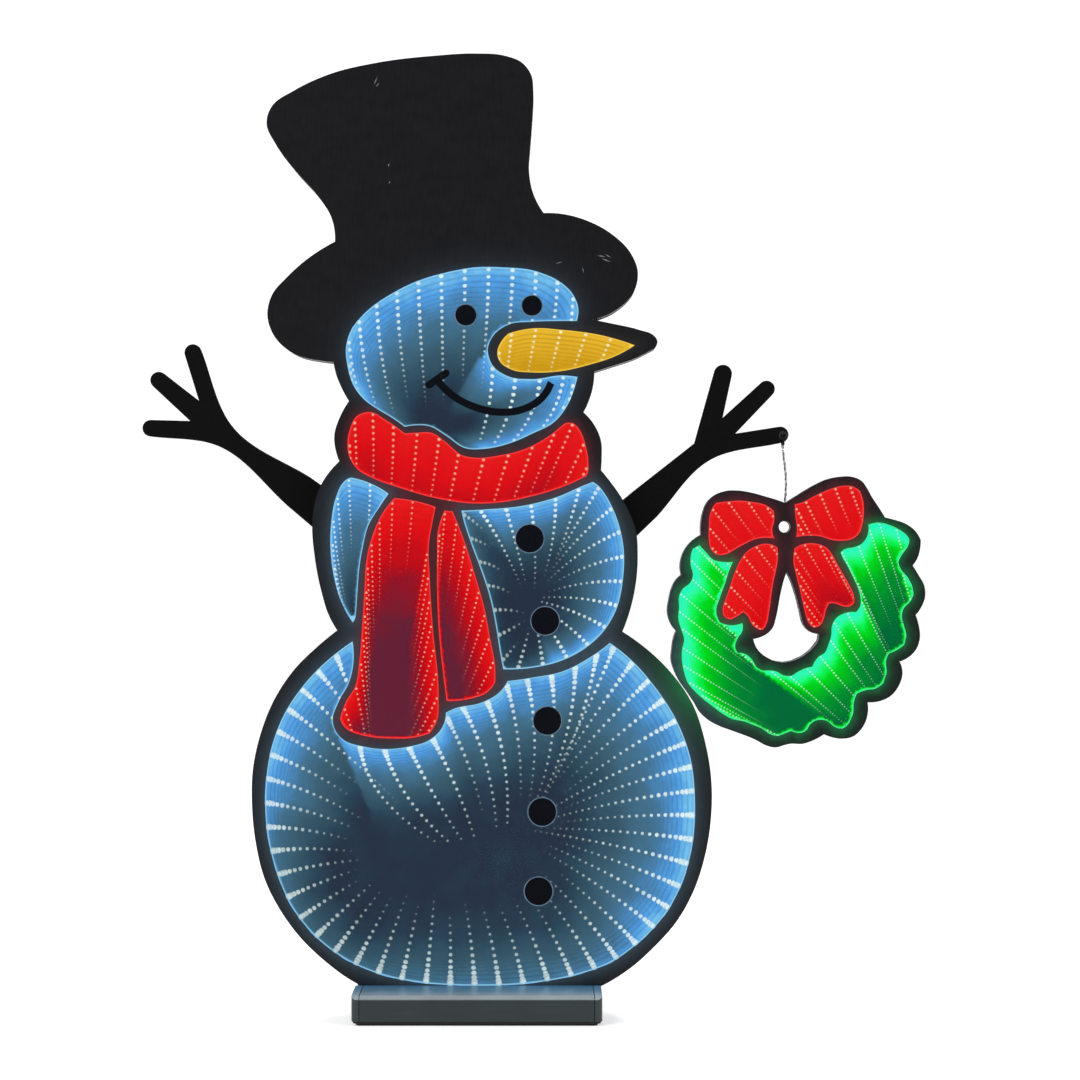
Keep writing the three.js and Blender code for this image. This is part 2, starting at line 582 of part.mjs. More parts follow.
const WREATH_CELLS = {
  greenery: outlineOf([
    [[151.5, 319.5], [156, 314.5], [161, 309.5], [167.5, 308]],
    [[174.5, 308], [172, 302.5], [169, 293], [165.5, 283.5], [163, 274]],
    [[165.5, 266.5], [172.5, 264.5]],
    [
      [181, 266], [181, 260.5], [178, 256], [176, 249.5], [178, 245.5], [183.5, 244.5], [187.5, 241],
      [190.5, 236], [194.5, 233.5], [200, 233.5], [205, 232.5], [209.5, 230], [215, 230], [219, 232.5],
      [224.5, 235], [229, 236], [231, 240], [233.5, 243], [237.5, 245.5], [240, 251], [242, 257.5],
      [242.5, 264], [245.5, 269.5], [250.5, 272.5],
    ],
    [[259, 273.5], [262, 278], [262, 284], [260, 291], [256.5, 298.5], [252.5, 306.5], [248.5, 314.5]],
    [[252, 317], [257.5, 318], [263, 320.5], [267, 326.5]],
    [
      [267.5, 333.5], [274, 335], [281.5, 333.5], [289, 330], [295.5, 324], [294.5, 318.5],
      [290.5, 313],
      [288, 308], [290, 302.5], [294, 298], [297.5, 291.5], [298.5, 285.5], [296, 280.5], [292, 276.5],
      [290.5, 271], [292, 264], [293.5, 257.5], [292, 251], [287, 247.5], [281.5, 245], [279.5, 239.5],
      [280, 232], [277.5, 224.5], [272.5, 221], [266, 220], [259.5, 217.5], [257.5, 211.5], [257, 204],
      [254, 197], [249.5, 193.5], [244, 195], [238.5, 199], [233, 199.5], [228, 197], [224.5, 192],
      [220.5, 190.5], [214.5, 192], [209.5, 190], [205, 188.5], [199.5, 190], [194.5, 193.5],
      [188.5, 196],
      [182, 198.5], [174.5, 200], [167, 204], [161, 208.5], [154.5, 213.5], [148.5, 219], [143.5, 225],
      [141, 232], [139.5, 240], [139.5, 247.5], [141, 255], [139, 261.5], [137, 269], [137.5, 277],
      [137.5, 284.5], [140.5, 290], [145, 293.5], [147, 299], [145.5, 305.5], [145.5, 312], [147, 317],
    ],
  ]),
  bow_loop_left: outlineOf([
    [[202.5, 343], [203, 337], [201.5, 330]],
    [
      [203, 324], [197, 324.5], [189.5, 323.5], [183, 320.5], [176.5, 317], [170.5, 313.5],
      [163.5, 313],
      [159.5, 316.5], [158, 323], [158, 332], [159, 341.5], [163, 348.5], [171, 349.5], [179.5, 350],
      [188.5, 349], [197, 347],
    ],
  ]),
  bow_loop_right: outlineOf([
    [
      [217, 347.5], [222.5, 349], [231, 353.5], [240, 357.5], [248.5, 360], [256, 360], [261.5, 357],
      [264, 350], [264.5, 342.5], [263.5, 334], [261.5, 328], [257, 324], [250, 322.5], [242.5, 323],
      [234.5, 325.5], [226, 326],
    ],
    [[218, 325], [218.5, 331.5], [217.5, 339]],
  ]),
  bow_tail_left: outlineOf([
    [
      [205, 318], [205.5, 312], [204.5, 304], [202.5, 295], [201, 285.5], [199.5, 274.5], [198, 266.5],
      [195, 261.5], [190.5, 262.5], [187, 266], [185, 270.5],
    ],
    [
      [181.5, 273.5], [178, 271], [173, 268.5], [168.5, 270.5], [167.5, 276], [169.5, 282.5],
      [172.5, 291], [175.5, 300], [179, 308], [183.5, 314.5], [189.5, 318.5], [198, 320.5],
    ],
  ]),
  bow_tail_right: outlineOf([
    [
      [217, 317.5], [224, 320.5], [232, 320.5], [238.5, 318], [243, 312.5], [246.5, 306], [250.5, 299],
      [254.5, 292], [257.5, 285.5], [258, 280.5], [255, 277.5], [250, 277.5], [244.5, 279.5],
    ],
    [
      [240.5, 279.5], [238.5, 275], [237, 269], [234.5, 264.5], [230, 263], [226.5, 266],
      [224.5, 271.5], [222.5, 280], [220.5, 289], [218, 299], [216, 309.5],
    ],
  ]),
};

function makeWreath() {
  let front = WREATH_FRONT;
  const layer = (name, holes, thickness, material) => {
    add(name, board(WREATH_OUTLINE, holes, front, front + thickness), material);
    front += thickness + BOND;
  };
  const openings = [WREATH_OPENING, KNOT_HOLE];
  const windows = Object.values(WREATH_CELLS);
  layer("wreath_print_film", [...openings, ...windows], WREATH.film, "print");
  layer("wreath_mirror_sheet", openings, WREATH.sheet, "sheet");
  const stripFront = front + (WREATH.frame - STRIP_WIDTH.wreath) / 2;
  const bays = windows.map((cell) => offset(cell, BAY.wreath));
  layer("wreath_cell_frame", [...openings, ...bays], WREATH.frame, "frame");
  layer("wreath_back_mirror", openings, WREATH.mirror, "mirror");
  layer("wreath_rear_cover", openings, WREATH.cover, "cover");
  for (const [name, cell] of Object.entries(WREATH_CELLS)) {
    const strip = ledStrip(cell, "wreath", stripFront, STRIP_WIDTH.wreath);
    add(`led_strip_${name}`, strip, name === "greenery" ? "greenLed" : "redLed");
  }
}

// ---- The foot ----
// The channel's section in the YZ plane: hollow on both sides of the slot that holds the panel.
function channelSection(hollow) {
  const { depth, height, wall, chamfer } = BASE;
  const front = -depth / 2;
  const back = depth / 2;
  const low = PAD_THICKNESS + BOTTOM_PLATE + 2 * BOND;
  const slotFront = PANEL_FRONT - FIT;
  const slotBack = COVER_BACK + FIT;
  const underside = hollow
    ? [
        [front + wall, low], [front + wall, height - wall], [slotFront - wall, height - wall],
        [slotFront - wall, low], [slotBack + wall, low], [slotBack + wall, height - wall],
        [back - wall, height - wall], [back - wall, low],
      ]
    : [];
  const section = [
    [front, low], ...underside, [back, low], [back, height - chamfer], [back - chamfer, height],
    [slotBack, height], [slotBack, SLOT_FLOOR], [slotFront, SLOT_FLOOR], [slotFront, height],
    [front + chamfer, height], [front, height - chamfer],
  ];
  return section.map(([y, z]) => new THREE.Vector2(y, z));
}

// The section pulled out along X.
function alongX(section, from, to) {
  const length = to - from;
  const geometry = new THREE.ExtrudeGeometry(new THREE.Shape(section), { depth: length, bevelEnabled: false });
  geometry.applyMatrix4(new THREE.Matrix4().makeBasis(
    new THREE.Vector3(0, 1, 0),
    new THREE.Vector3(0, 0, 1),
    new THREE.Vector3(1, 0, 0),
  ));
  return geometry.translate(from, 0, 0);
}

// A slab with rounded vertical edges.
function slab(width, depth, radius, low, high) {
  const [x, y, r] = [width / 2, depth / 2, radius];
  const shape = new THREE.Shape();
  shape.moveTo(-x + r, -y);
  shape.lineTo(x - r, -y).absarc(x - r, -y + r, r, -Math.PI / 2, 0);
  shape.lineTo(x, y - r).absarc(x - r, y - r, r, 0, Math.PI / 2);
  shape.lineTo(-x + r, y).absarc(-x + r, y - r, r, Math.PI / 2, Math.PI);
  shape.lineTo(-x, -y + r).absarc(-x + r, -y + r, r, Math.PI, 1.5 * Math.PI);
  const options = { depth: high - low, bevelEnabled: false, curveSegments: 4 };
  return new THREE.ExtrudeGeometry(shape, options).translate(0, 0, low);
}

function makeFoot() {
  const { width, depth, height, corner, cap } = BASE;
  const end = width / 2;
  const screws = [-1, 1].map((side) => [side * BASE_SCREW.x, FRAME_MIDDLE]);
  const low = PAD_THICKNESS + BOND;
  const clearance = BASE_SCREW.head + 0.6;

  const channel = alongX(channelSection(true), -end + cap + BOND, end - cap - BOND);
  add("base_channel", cut(channel, screws.map((at) => barZ(at, BASE_SCREW.hole, 0, height, 10))), "base");

  const envelope = solidOf(slab(width, depth, corner, 0, height + 1));
  const caps = { left: [-end, -end + cap], right: [end - cap, end] };
  for (const [side, [from, to]] of Object.entries(caps)) {
    const block = solidOf(alongX(channelSection(false), from, to)).intersect(envelope);
    add(`base_end_cap_${side}`, geometryOf(block), "cap");
  }

  const plate = slab(width - 2, depth - 2, corner, low, low + BOTTOM_PLATE);
  add("base_bottom_plate", cut(plate, screws.map((at) => barZ(at, clearance, 0, height, 12))), "steel");
  add("base_pad", slab(width - 6, depth - 6, corner, 0, PAD_THICKNESS), "pad");

  const headTop = low + BOTTOM_PLATE - 0.05;
  for (const [side, at] of [["left", screws[0]], ["right", screws[1]]]) {
    const head = barZ(at, BASE_SCREW.head, low + 0.05, headTop, 12);
    const shank = barZ(at, BASE_SCREW.shank, low + 0.5, BASE_SCREW.top, 10);
    add(`base_screw_${side}`, unite([head, shank]), "steel");
  }
}

makeFront();
makeMarks();
makeFrame();
makeStrips();
makeBack();
makeElectrics();
makeArms();
makeLead();
makeHangingLead();
makeWreath();
makeFoot();

export default snowman;
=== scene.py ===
"""The looks of a lit infinity-mirror snowman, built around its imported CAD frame.

Outlines are read from the frame's flat faces in millimetres, as (x, z) points seen from the front.
"""

import math
from collections import namedtuple
from dataclasses import dataclass

import bpy
import numpy as np
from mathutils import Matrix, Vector
from mathutils.geometry import delaunay_2d_cdt


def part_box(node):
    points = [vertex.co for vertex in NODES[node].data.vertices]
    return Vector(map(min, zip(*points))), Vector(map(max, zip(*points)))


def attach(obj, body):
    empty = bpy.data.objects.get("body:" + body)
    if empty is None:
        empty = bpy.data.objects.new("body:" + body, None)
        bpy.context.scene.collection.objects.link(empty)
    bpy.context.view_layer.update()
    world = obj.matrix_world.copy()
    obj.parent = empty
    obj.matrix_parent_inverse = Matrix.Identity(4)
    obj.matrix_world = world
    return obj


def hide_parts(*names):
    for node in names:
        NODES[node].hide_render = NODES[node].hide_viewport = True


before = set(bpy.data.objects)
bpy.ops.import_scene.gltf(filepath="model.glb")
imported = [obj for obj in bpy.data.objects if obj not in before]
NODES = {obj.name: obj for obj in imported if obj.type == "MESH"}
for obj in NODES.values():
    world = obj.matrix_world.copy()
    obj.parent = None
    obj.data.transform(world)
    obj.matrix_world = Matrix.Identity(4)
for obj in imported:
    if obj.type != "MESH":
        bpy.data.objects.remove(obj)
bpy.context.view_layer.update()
RANDOM = np.random.default_rng(11)

MM = 0.001
LED_PITCH = 16.67  # mm between the LEDs of a strip that has 60 in a metre
ROWS_AT_ONCE = 1500  # how many points are measured at once
FLAT = 0.02  # how far a point may lie off its flat face, in mm
LEAST_TURN = 0.01  # radians; a loop that turns less runs straight on
CORNER = 0.62  # radians; a loop that turns more has a sharp corner
STRAIGHT_SHARE = 0.8  # a side with this share of its own and the last side's length is straight
MOST_POLYGON_SIDES = 20  # a regular polygon with no more sides than this stands for a circle
CIRCLE_SIDES = 40
LATHE_SIDES = 28


# ---- Small helpers ----
def tone(red, green, blue):
    """An 8-bit screen colour as a linear RGBA colour."""

    def linear(level):
        share = level / 255
        return share / 12.92 if share <= 0.04045 else ((share + 0.055) / 1.055) ** 2.4

    return (linear(red), linear(green), linear(blue), 1.0)


def depths(name):
    """The nearest and farthest y of a CAD node, in mm."""
    low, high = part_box(name)
    return low.y / MM, high.y / MM


def centre_of(name):
    """The middle of a CAD node's box, in mm."""
    low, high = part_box(name)
    return (low + high) / 2 / MM


def circle(count):
    """Unit vectors evenly round a circle."""
    turns = np.linspace(0, 2 * math.pi, count, endpoint=False)
    return np.stack([np.cos(turns), np.sin(turns)], 1)


def lengths_of(vectors):
    return np.linalg.norm(vectors, axis=1)


def directions(vectors):
    """The vectors at unit length."""
    return vectors / np.maximum(lengths_of(vectors), 1e-9)[:, None]


def batches(*arrays):
    """The rows of some equally long arrays, a batch at a time."""
    count = max(1, len(arrays[0]) // ROWS_AT_ONCE)
    return zip(*(np.array_split(array, count) for array in arrays))


# ---- Outlines ----
def area(loop):
    ahead = np.roll(loop, -1, 0)
    return float(np.sum(loop[:, 0] * ahead[:, 1] - ahead[:, 0] * loop[:, 1]) / 2)


def flat_loops(name, level):
    """The outlines of a CAD node's flat face at depth y = level, the largest first."""
    mesh = NODES[name].data
    points = np.array([vertex.co[:] for vertex in mesh.vertices]) / MM
    found = {}
    ids = [found.setdefault((round(x, 2), round(z, 2)), len(found)) for x, _, z in points]
    spots = np.array(list(found))
    mesh.calc_loop_triangles()
    edges = set()
    for triangle in mesh.loop_triangles:
        if any(abs(points[i][1] - level) > FLAT for i in triangle.vertices):
            continue
        a, b, c = (ids[i] for i in triangle.vertices)
        for edge in ((a, b), (b, c), (c, a)):
            if edge[::-1] in edges:
                edges.remove(edge[::-1])
            else:
                edges.add(edge)
    following = dict(edges)
    loops = []
    while following:
        start, here = following.popitem()
        loop = [start]
        while here != start:
            loop.append(here)
            here = following.pop(here)
        loops.append(spots[loop])
    bare = [loop[turning(loop) > LEAST_TURN] for loop in loops]
    return sorted(bare, key=lambda loop: -abs(area(loop)))


def turning(loop):
    """How sharply a loop turns at each of its points."""
    ahead = np.roll(loop, -1, 0) - loop
    behind = loop - np.roll(loop, 1, 0)
    cross = behind[:, 0] * ahead[:, 1] - behind[:, 1] * ahead[:, 0]
    return np.abs(np.arctan2(cross, np.sum(ahead * behind, 1)))


def tangents_of(ways, lengths):
    """A loop's direction at each point: that of a long side there, or else between its two sides."""
    before = np.roll(ways, 1, 0)
    share = (lengths / (lengths + np.roll(lengths, 1)))[:, None]
    between = before * share + ways * (1 - share)
    between = np.where(share < 1 - STRAIGHT_SHARE, before, between)
    return directions(np.where(share > STRAIGHT_SHARE, ways, between))


def smooth(loop, step=2.0):
    """A loop with its round stretches drawn finely and its corners kept. Round polygons become circles."""
    middle = loop.mean(0)
    radii = lengths_of(loop - middle)
    if len(loop) <= MOST_POLYGON_SIDES and np.ptp(radii) < 0.03 * radii.mean():
        return middle + radii.mean() * circle(CIRCLE_SIDES)
    sharp = turning(loop) > CORNER
    chords = np.roll(loop, -1, 0) - loop
    lengths = lengths_of(chords)
    ways = directions(chords)
    tangents = tangents_of(ways, lengths)
    fine = []
    for i, start in enumerate(loop):
        j = (i + 1) % len(loop)
        leave, arrive = tangents[i], tangents[j]
        if sharp[i] and sharp[j]:
            leave = arrive = ways[i]
        elif sharp[i]:
            leave = 2 * ways[i] - arrive
        elif sharp[j]:
            arrive = 2 * ways[i] - leave
        count = max(1, math.ceil(lengths[i] / step))
        t = (np.arange(count) / count)[:, None]
        fine.append(
            (2 * t**3 - 3 * t**2 + 1) * start
            + (t**3 - 2 * t**2 + t) * leave * lengths[i]
            + (3 * t**2 - 2 * t**3) * loop[j]
            + (t**3 - t**2) * arrive * lengths[i]
        )
    return np.concatenate(fine)


def sides(loops):
    """The two ends of every side of these loops."""
    starts = np.concatenate(loops)
    ends = np.concatenate([np.roll(loop, -1, 0) for loop in loops])
    return starts, ends


def inside(points, loops):
    """Which points lie in the first loop and outside the others."""
    starts, ends = sides(loops)
    rise = ends[:, 1] - starts[:, 1]
    rise = np.where(rise == 0, 1e-12, rise)
    result = []
    for (rows,) in batches(points):
        x, z = rows[:, :1], rows[:, 1:]
        spans = (starts[:, 1] > z) != (ends[:, 1] > z)
        crossing = starts[:, 0] + (z - starts[:, 1]) / rise * (ends[:, 0] - starts[:, 0])
        result.append(np.sum(spans & (x < crossing), 1) % 2 == 1)
    return np.concatenate(result)


def distance(points, loops):
    """How far each point is from the nearest side."""
    starts, ends = sides(loops)
    chords = ends - starts
    squares = np.maximum(np.sum(chords**2, 1), 1e-12)
    result = []
    for (rows,) in batches(points):
        offset = rows[:, None] - starts
        t = np.clip(np.sum(offset * chords, 2) / squares, 0, 1)
        gap = offset - t[:, :, None] * chords
        result.append(np.sqrt(np.min(np.sum(gap**2, 2), 1)))
    return np.concatenate(result)


def way_out(points, ways, loops):
    """How far each point is from the first side met along its way."""
    starts, ends = sides(loops)
    chords = ends - starts
    result = []
    for rows, going in batches(points, ways):
        offset = starts - rows[:, None]
        cross = going[:, :1] * chords[:, 1] - going[:, 1:] * chords[:, 0]
        cross = np.where(np.abs(cross) < 1e-12, 1e-12, cross)
        along_way = (offset[:, :, 0] * chords[:, 1] - offset[:, :, 1] * chords[:, 0]) / cross
        along_side = (offset[:, :, 0] * going[:, 1:] - offset[:, :, 1] * going[:, :1]) / cross
        met = (along_way > 1e-6) & (along_side >= 0) & (along_side <= 1)
        result.append(np.min(np.where(met, along_way, 1e4), 1))
    return np.concatenate(result)


def leftward(loop):
    """Unit vectors to the left of a loop's direction at its points."""
    course = np.roll(loop, -1, 0) - np.roll(loop, 1, 0)
    return directions(np.stack([-course[:, 1], course[:, 0]], 1))


def oriented(loops):
    """The loops turned so that the material is always on their left."""
    turned = []
    for i, loop in enumerate(loops):
        anticlockwise = area(loop) > 0
        turned.append(loop if anticlockwise == (i == 0) else loop[::-1])
    return turned


def loop_edges(loops):
    """Pairs of neighbouring point numbers, with the loops' points numbered one loop after another."""
    edges = []
    first = 0
    for loop in loops:
        count = len(loop)
        edges += [(first + i, first + (i + 1) % count) for i in range(count)]
        first += count
    return edges


# ---- Meshes ----
def fill(loops, spacing=None):
    """Points and anticlockwise triangles that fill the first loop outside the others.

    The last result says which of those points stands for each point of the loops.
    """
    points = np.concatenate(loops)
    if spacing:
        points = np.concatenate([points, lattice(loops, spacing)])
    flat = [Vector(point) for point in points.tolist()]
    made, _, faces, origins, _, _ = delaunay_2d_cdt(flat, loop_edges(loops), [], 0, 1e-5)
    spots = np.array([point[:] for point in made])
    faces = np.array(faces)
    corners = spots[faces]
    kept = inside(corners.mean(1), loops)
    faces, corners = faces[kept], corners[kept]
    first_side, second_side = corners[:, 1] - corners[:, 0], corners[:, 2] - corners[:, 0]
    backward = first_side[:, 0] * second_side[:, 1] < first_side[:, 1] * second_side[:, 0]
    faces[backward] = faces[backward][:, ::-1]
    place = np.zeros(len(points), int)
    for i, known in enumerate(origins):
        place[known] = i
    return spots, faces, place


def lattice(loops, spacing):
    """Evenly spread points inside the loops, clear of their sides."""
    low, high = loops[0].min(0), loops[0].max(0)
    rise = spacing * math.sqrt(3) / 2
    rows = []
    for i, z in enumerate(np.arange(low[1], high[1], rise)):
        x = np.arange(low[0] + (i % 2) * spacing / 2, high[0], spacing)
        rows.append(np.stack([x, np.full(len(x), z)], 1))
    points = np.concatenate(rows)
    points = points[inside(points, loops)]
    return points[distance(points, loops) > 0.55 * spacing]


def piece(name, shape, material, body, crease=35, replaces=()):
    """A mesh piece that rides on a body. Its shape is vertices in mm and faces."""
    vertices, faces = shape
    mesh = bpy.data.meshes.new(name)
    mesh.from_pydata((np.asarray(vertices, float) * MM).tolist(), [], [list(map(int, f)) for f in faces])
    mesh.polygons.foreach_set("use_smooth", [True] * len(mesh.polygons))
    mesh.set_sharp_from_angle(angle=math.radians(crease))
    mesh.materials.append(material)
    made = bpy.data.objects.new(name, mesh)
    bpy.context.scene.collection.objects.link(made)
    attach(made, body)
    if replaces:
        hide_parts(*replaces)
    return made


def at_depth(points, y):
    """Flat (x, z) points placed at depth y, which is one number or one for each point."""
    return np.stack([points[:, 0], np.broadcast_to(y, len(points)), points[:, 1]], 1)


def at_height(points, z):
    """Flat (x, y) points placed at one height."""
    return np.column_stack([points, np.full(len(points), z)])


def board(loops, front, back, ease=0.3, spacing=None):
    """Vertices and faces of a flat board with eased edges. The first faces are its front."""
    loops = oriented(loops)
    inset = [loop + leftward(loop) * ease for loop in loops]
    spots, triangles, place = fill(inset, spacing)
    count = len(spots)
    rim = np.concatenate(loops)
    vertices = np.concatenate([
        at_depth(spots, front),
        at_depth(spots, back),
        at_depth(rim, front + ease),
        at_depth(rim, back - ease),
    ])
    faces = [*triangles.tolist(), *(triangles[:, ::-1] + count).tolist()]
    near, far = 2 * count, 2 * count + len(rim)
    for a, b in loop_edges(loops):
        faces.append([place[a], near + a, near + b, place[b]])
        faces.append([near + a, far + a, far + b, near + b])
        faces.append([far + a, count + place[a], count + place[b], far + b])
    return vertices, faces


def board_like(name, material, body, ease=0.3, step=2.0):
    """A finely drawn copy of a CAD board that replaces it."""
    front, back = depths(name)
    loops = [smooth(loop, step) for loop in flat_loops(name, front)]
    piece(f"{name}_fine", board(loops, front, back, ease), material, body, replaces=[name])


def skin(rows, sides_count):
    """The faces between each ring of vertices and the next."""
    faces = []
    for low in range(0, (rows - 1) * sides_count, sides_count):
        high = low + sides_count
        for i in range(sides_count):
            j = (i + 1) % sides_count
            faces.append([low + i, low + j, high + j, high + i])
    return faces


def caps(rows, sides_count):
    """The faces that close the first ring of vertices and the last."""
    last = (rows - 1) * sides_count
    return list(range(sides_count))[::-1], list(range(last, last + sides_count))


def lathe(profile):
    """Vertices, ring by ring, of a profile of (radius, height) points turned about the vertical."""
    corners = circle(LATHE_SIDES)
    return np.array([(radius * x, radius * y, height) for radius, height in profile for x, y in corners])


def joined(parts):
    """Several (vertices, faces) as one."""
    vertices, faces, count = [], [], 0
    for part_vertices, part_faces in parts:
        vertices.append(part_vertices)
        faces += [[i + count for i in face] for face in part_faces]
        count += len(part_vertices)
    return np.concatenate(vertices), faces


def attribute(obj, name, values, kind="FLOAT"):
    """Stores one value, or one colour, for each vertex."""
    made = obj.data.attributes.new(name, kind, "POINT")
    field = "color" if kind == "FLOAT_COLOR" else "value"
    made.data.foreach_set(field, np.asarray(values, np.float32).ravel())


# ---- Materials ----
class Look:
    """A material with one Principled shader, and helpers that add nodes to it."""

    def __init__(self, name, base, roughness, **sockets):
        self.material = bpy.data.materials.new(name)
        self.material.use_nodes = True
        self.tree = self.material.node_tree
        self.shader = self.tree.nodes["Principled BSDF"]
        self.shader.inputs["Base Color"].default_value = base
        self.shader.inputs["Roughness"].default_value = roughness
        for socket, value in sockets.items():
            self.shader.inputs[socket.replace("_", " ")].default_value = value
        self.place = None

    def put(self, value, socket):
        """Links a node's output to a socket, or sets a plain value on it."""
        if isinstance(value, bpy.types.NodeSocket):
            self.tree.links.new(value, socket)
        else:
            socket.default_value = value

    def node(self, kind, inputs=None, **settings):
        made = self.tree.nodes.new(kind)
        for name, value in settings.items():
            setattr(made, name, value)
        for name, value in (inputs or {}).items():
            self.put(value, made.inputs[name])
        return made

    def link(self, output, socket):
        self.tree.links.new(output, self.shader.inputs[socket])

    def emit(self, light, strength=1.0):
        """Gives off a colour, either a uniform one or a node's."""
        self.put(light, self.shader.inputs["Emission Color"])
        self.shader.inputs["Emission Strength"].default_value = strength

    def position(self, stretch=(1, 1, 1)):
        """The place on the object in metres, scaled along each axis."""
        if self.place is None:
            self.place = self.node("ShaderNodeTexCoord").outputs["Object"]
        return self.node("ShaderNodeMapping", {"Vector": self.place, "Scale": stretch}).outputs["Vector"]

    def part_of(self, vector, axis):
        return self.node("ShaderNodeSeparateXYZ", {0: vector}).outputs[axis]

    def noise(self, scale, detail=3, stretch=(1, 1, 1), roughness=0.5):
        place = self.position(stretch)
        inputs = {"Vector": place, "Scale": scale, "Detail": detail, "Roughness": roughness}
        return self.node("ShaderNodeTexNoise", inputs).outputs["Fac"]

    def math(self, operation, *values):
        return self.node("ShaderNodeMath", dict(enumerate(values)), operation=operation).outputs[0]

    def ramp(self, factor, stops):
        made = self.node("ShaderNodeValToRGB", {"Fac": factor})
        band = made.color_ramp
        while len(band.elements) < len(stops):
            band.elements.new(0.5)
        for element, (at, color) in zip(band.elements, stops):
            element.position = at
            element.color = color
        return made.outputs["Color"]

    def spread(self, value, low, high, to_low, to_high):
        inputs = {"Value": value, "From Min": low, "From Max": high, "To Min": to_low, "To Max": to_high}
        return self.node("ShaderNodeMapRange", inputs).outputs["Result"]

    def mix(self, factor, first, second, blend="MIX"):
        made = self.node("ShaderNodeMix", data_type="RGBA", blend_type=blend)
        for index, value in ((0, factor), (6, first), (7, second)):
            self.put(value, made.inputs[index])
        return made.outputs[2]

    def stored(self, name, output="Color"):
        """A value or a colour that is stored on the vertices."""
        return self.node("ShaderNodeAttribute", attribute_name=name).outputs[output]

    def bump(self, height, strength, reach=0.0004):
        inputs = {"Height": height, "Strength": strength, "Distance": reach}
        self.link(self.node("ShaderNodeBump", inputs).outputs["Normal"], "Normal")


def grained(name, dark, light, roughness, scale, bump, stretch=(1, 1, 1), **sockets):
    """A surface whose colour, gloss and relief vary with one grain."""
    look = Look(name, light, roughness, **sockets)
    grain = look.noise(scale, 4, stretch, 0.6)
    look.link(look.ramp(grain, [(0.3, dark), (0.7, light)]), "Base Color")
    look.link(look.spread(grain, 0.3, 0.7, roughness * 0.85, min(1, roughness * 1.15)), "Roughness")
    look.bump(grain, bump)
    return look.material


def print_look():
    """Black ink on clear film: satin, with a faint upright grain, fine scuffs and the cells' spill."""
    look = Look("black_print", tone(14, 14, 17), 0.42, Specular_IOR_Level=0.14)
    grain = look.noise(900, 3, (1, 1, 0.12))
    scuffs = look.noise(60, 6, (1, 1, 2.5), 0.75)
    look.link(look.ramp(grain, [(0.3, tone(9, 9, 12)), (0.72, tone(17, 17, 22))]), "Base Color")
    look.link(look.spread(scuffs, 0.3, 0.75, 0.34, 0.6), "Roughness")
    look.emit(look.stored("spill"))
    look.bump(grain, 0.12, 0.0001)
    return look.material


def glow_look(name, family):
    """The lit depth of a cell: colour by how deep the reflections are, with a fine line for each."""
    look = Look(name, tone(0, 0, 0), 0.6, Specular_IOR_Level=0.0)
    bounce, depth, rim = (look.stored(stored, "Fac") for stored in ("bounce", "depth", "rim"))
    haze = look.noise(45, 4, (1, 1, 1), 0.65)
    hazy_depth = look.math("ADD", depth, look.spread(haze, 0.3, 0.7, -0.07, 0.07))
    colour = look.ramp(hazy_depth, family.stops)
    wave = look.math("SINE", look.math("MULTIPLY", bounce, 2 * math.pi))
    strength = look.spread(bounce, 2, 13, family.line, 0)
    dip = look.math("SUBTRACT", 1, look.math("MULTIPLY", look.spread(wave, 0.1, 1, 0, 1), strength))
    lines = look.node("ShaderNodeCombineColor", {0: dip, 1: dip, 2: dip}).outputs[0]
    colour = look.mix(1, colour, lines, "MULTIPLY")
    look.emit(look.mix(look.spread(rim, 0.35, 1.15, 0.85, 0), colour, family.edge))
    return look.material


def painted_reflection_look():
    """The images of the LEDs, painted as glowing reflections: each dot gives off its own stored colour."""
    look = Look("led_images", tone(0, 0, 0), 0.5, Specular_IOR_Level=0.0)
    flicker = look.noise(400, 1)
    shade = look.ramp(flicker, [(0.3, tone(235, 235, 235)), (0.6, tone(255, 255, 255))])
    look.emit(look.mix(1, look.stored("lamp"), shade, "MULTIPLY"))
    return look.material


def strip_look(name, light):
    """A flexible LED strip in its milky coating."""
    look = Look(name, light, 0.45)
    cells = look.noise(120, 2)
    look.link(look.ramp(cells, [(0.35, tone(240, 240, 240)), (0.6, light)]), "Base Color")
    look.emit(light, 0.8)
    return look.material


def rippled(name, base, roughness, scale, ripple, **sockets):
    """A smooth sheet with the faintest ripple."""
    look = Look(name, base, roughness, **sockets)
    look.bump(look.noise(scale, 2), ripple, 0.001)
    return look.material


def edge_look():
    """The polished edge of an acrylic sheet."""
    look = Look("acrylic_edge", tone(60, 80, 92), 0.12, Specular_IOR_Level=0.6)
    wear = look.noise(300, 3, (1, 0.2, 1))
    look.link(look.ramp(wear, [(0.3, tone(38, 52, 62)), (0.7, tone(78, 100, 112))]), "Base Color")
    return look.material


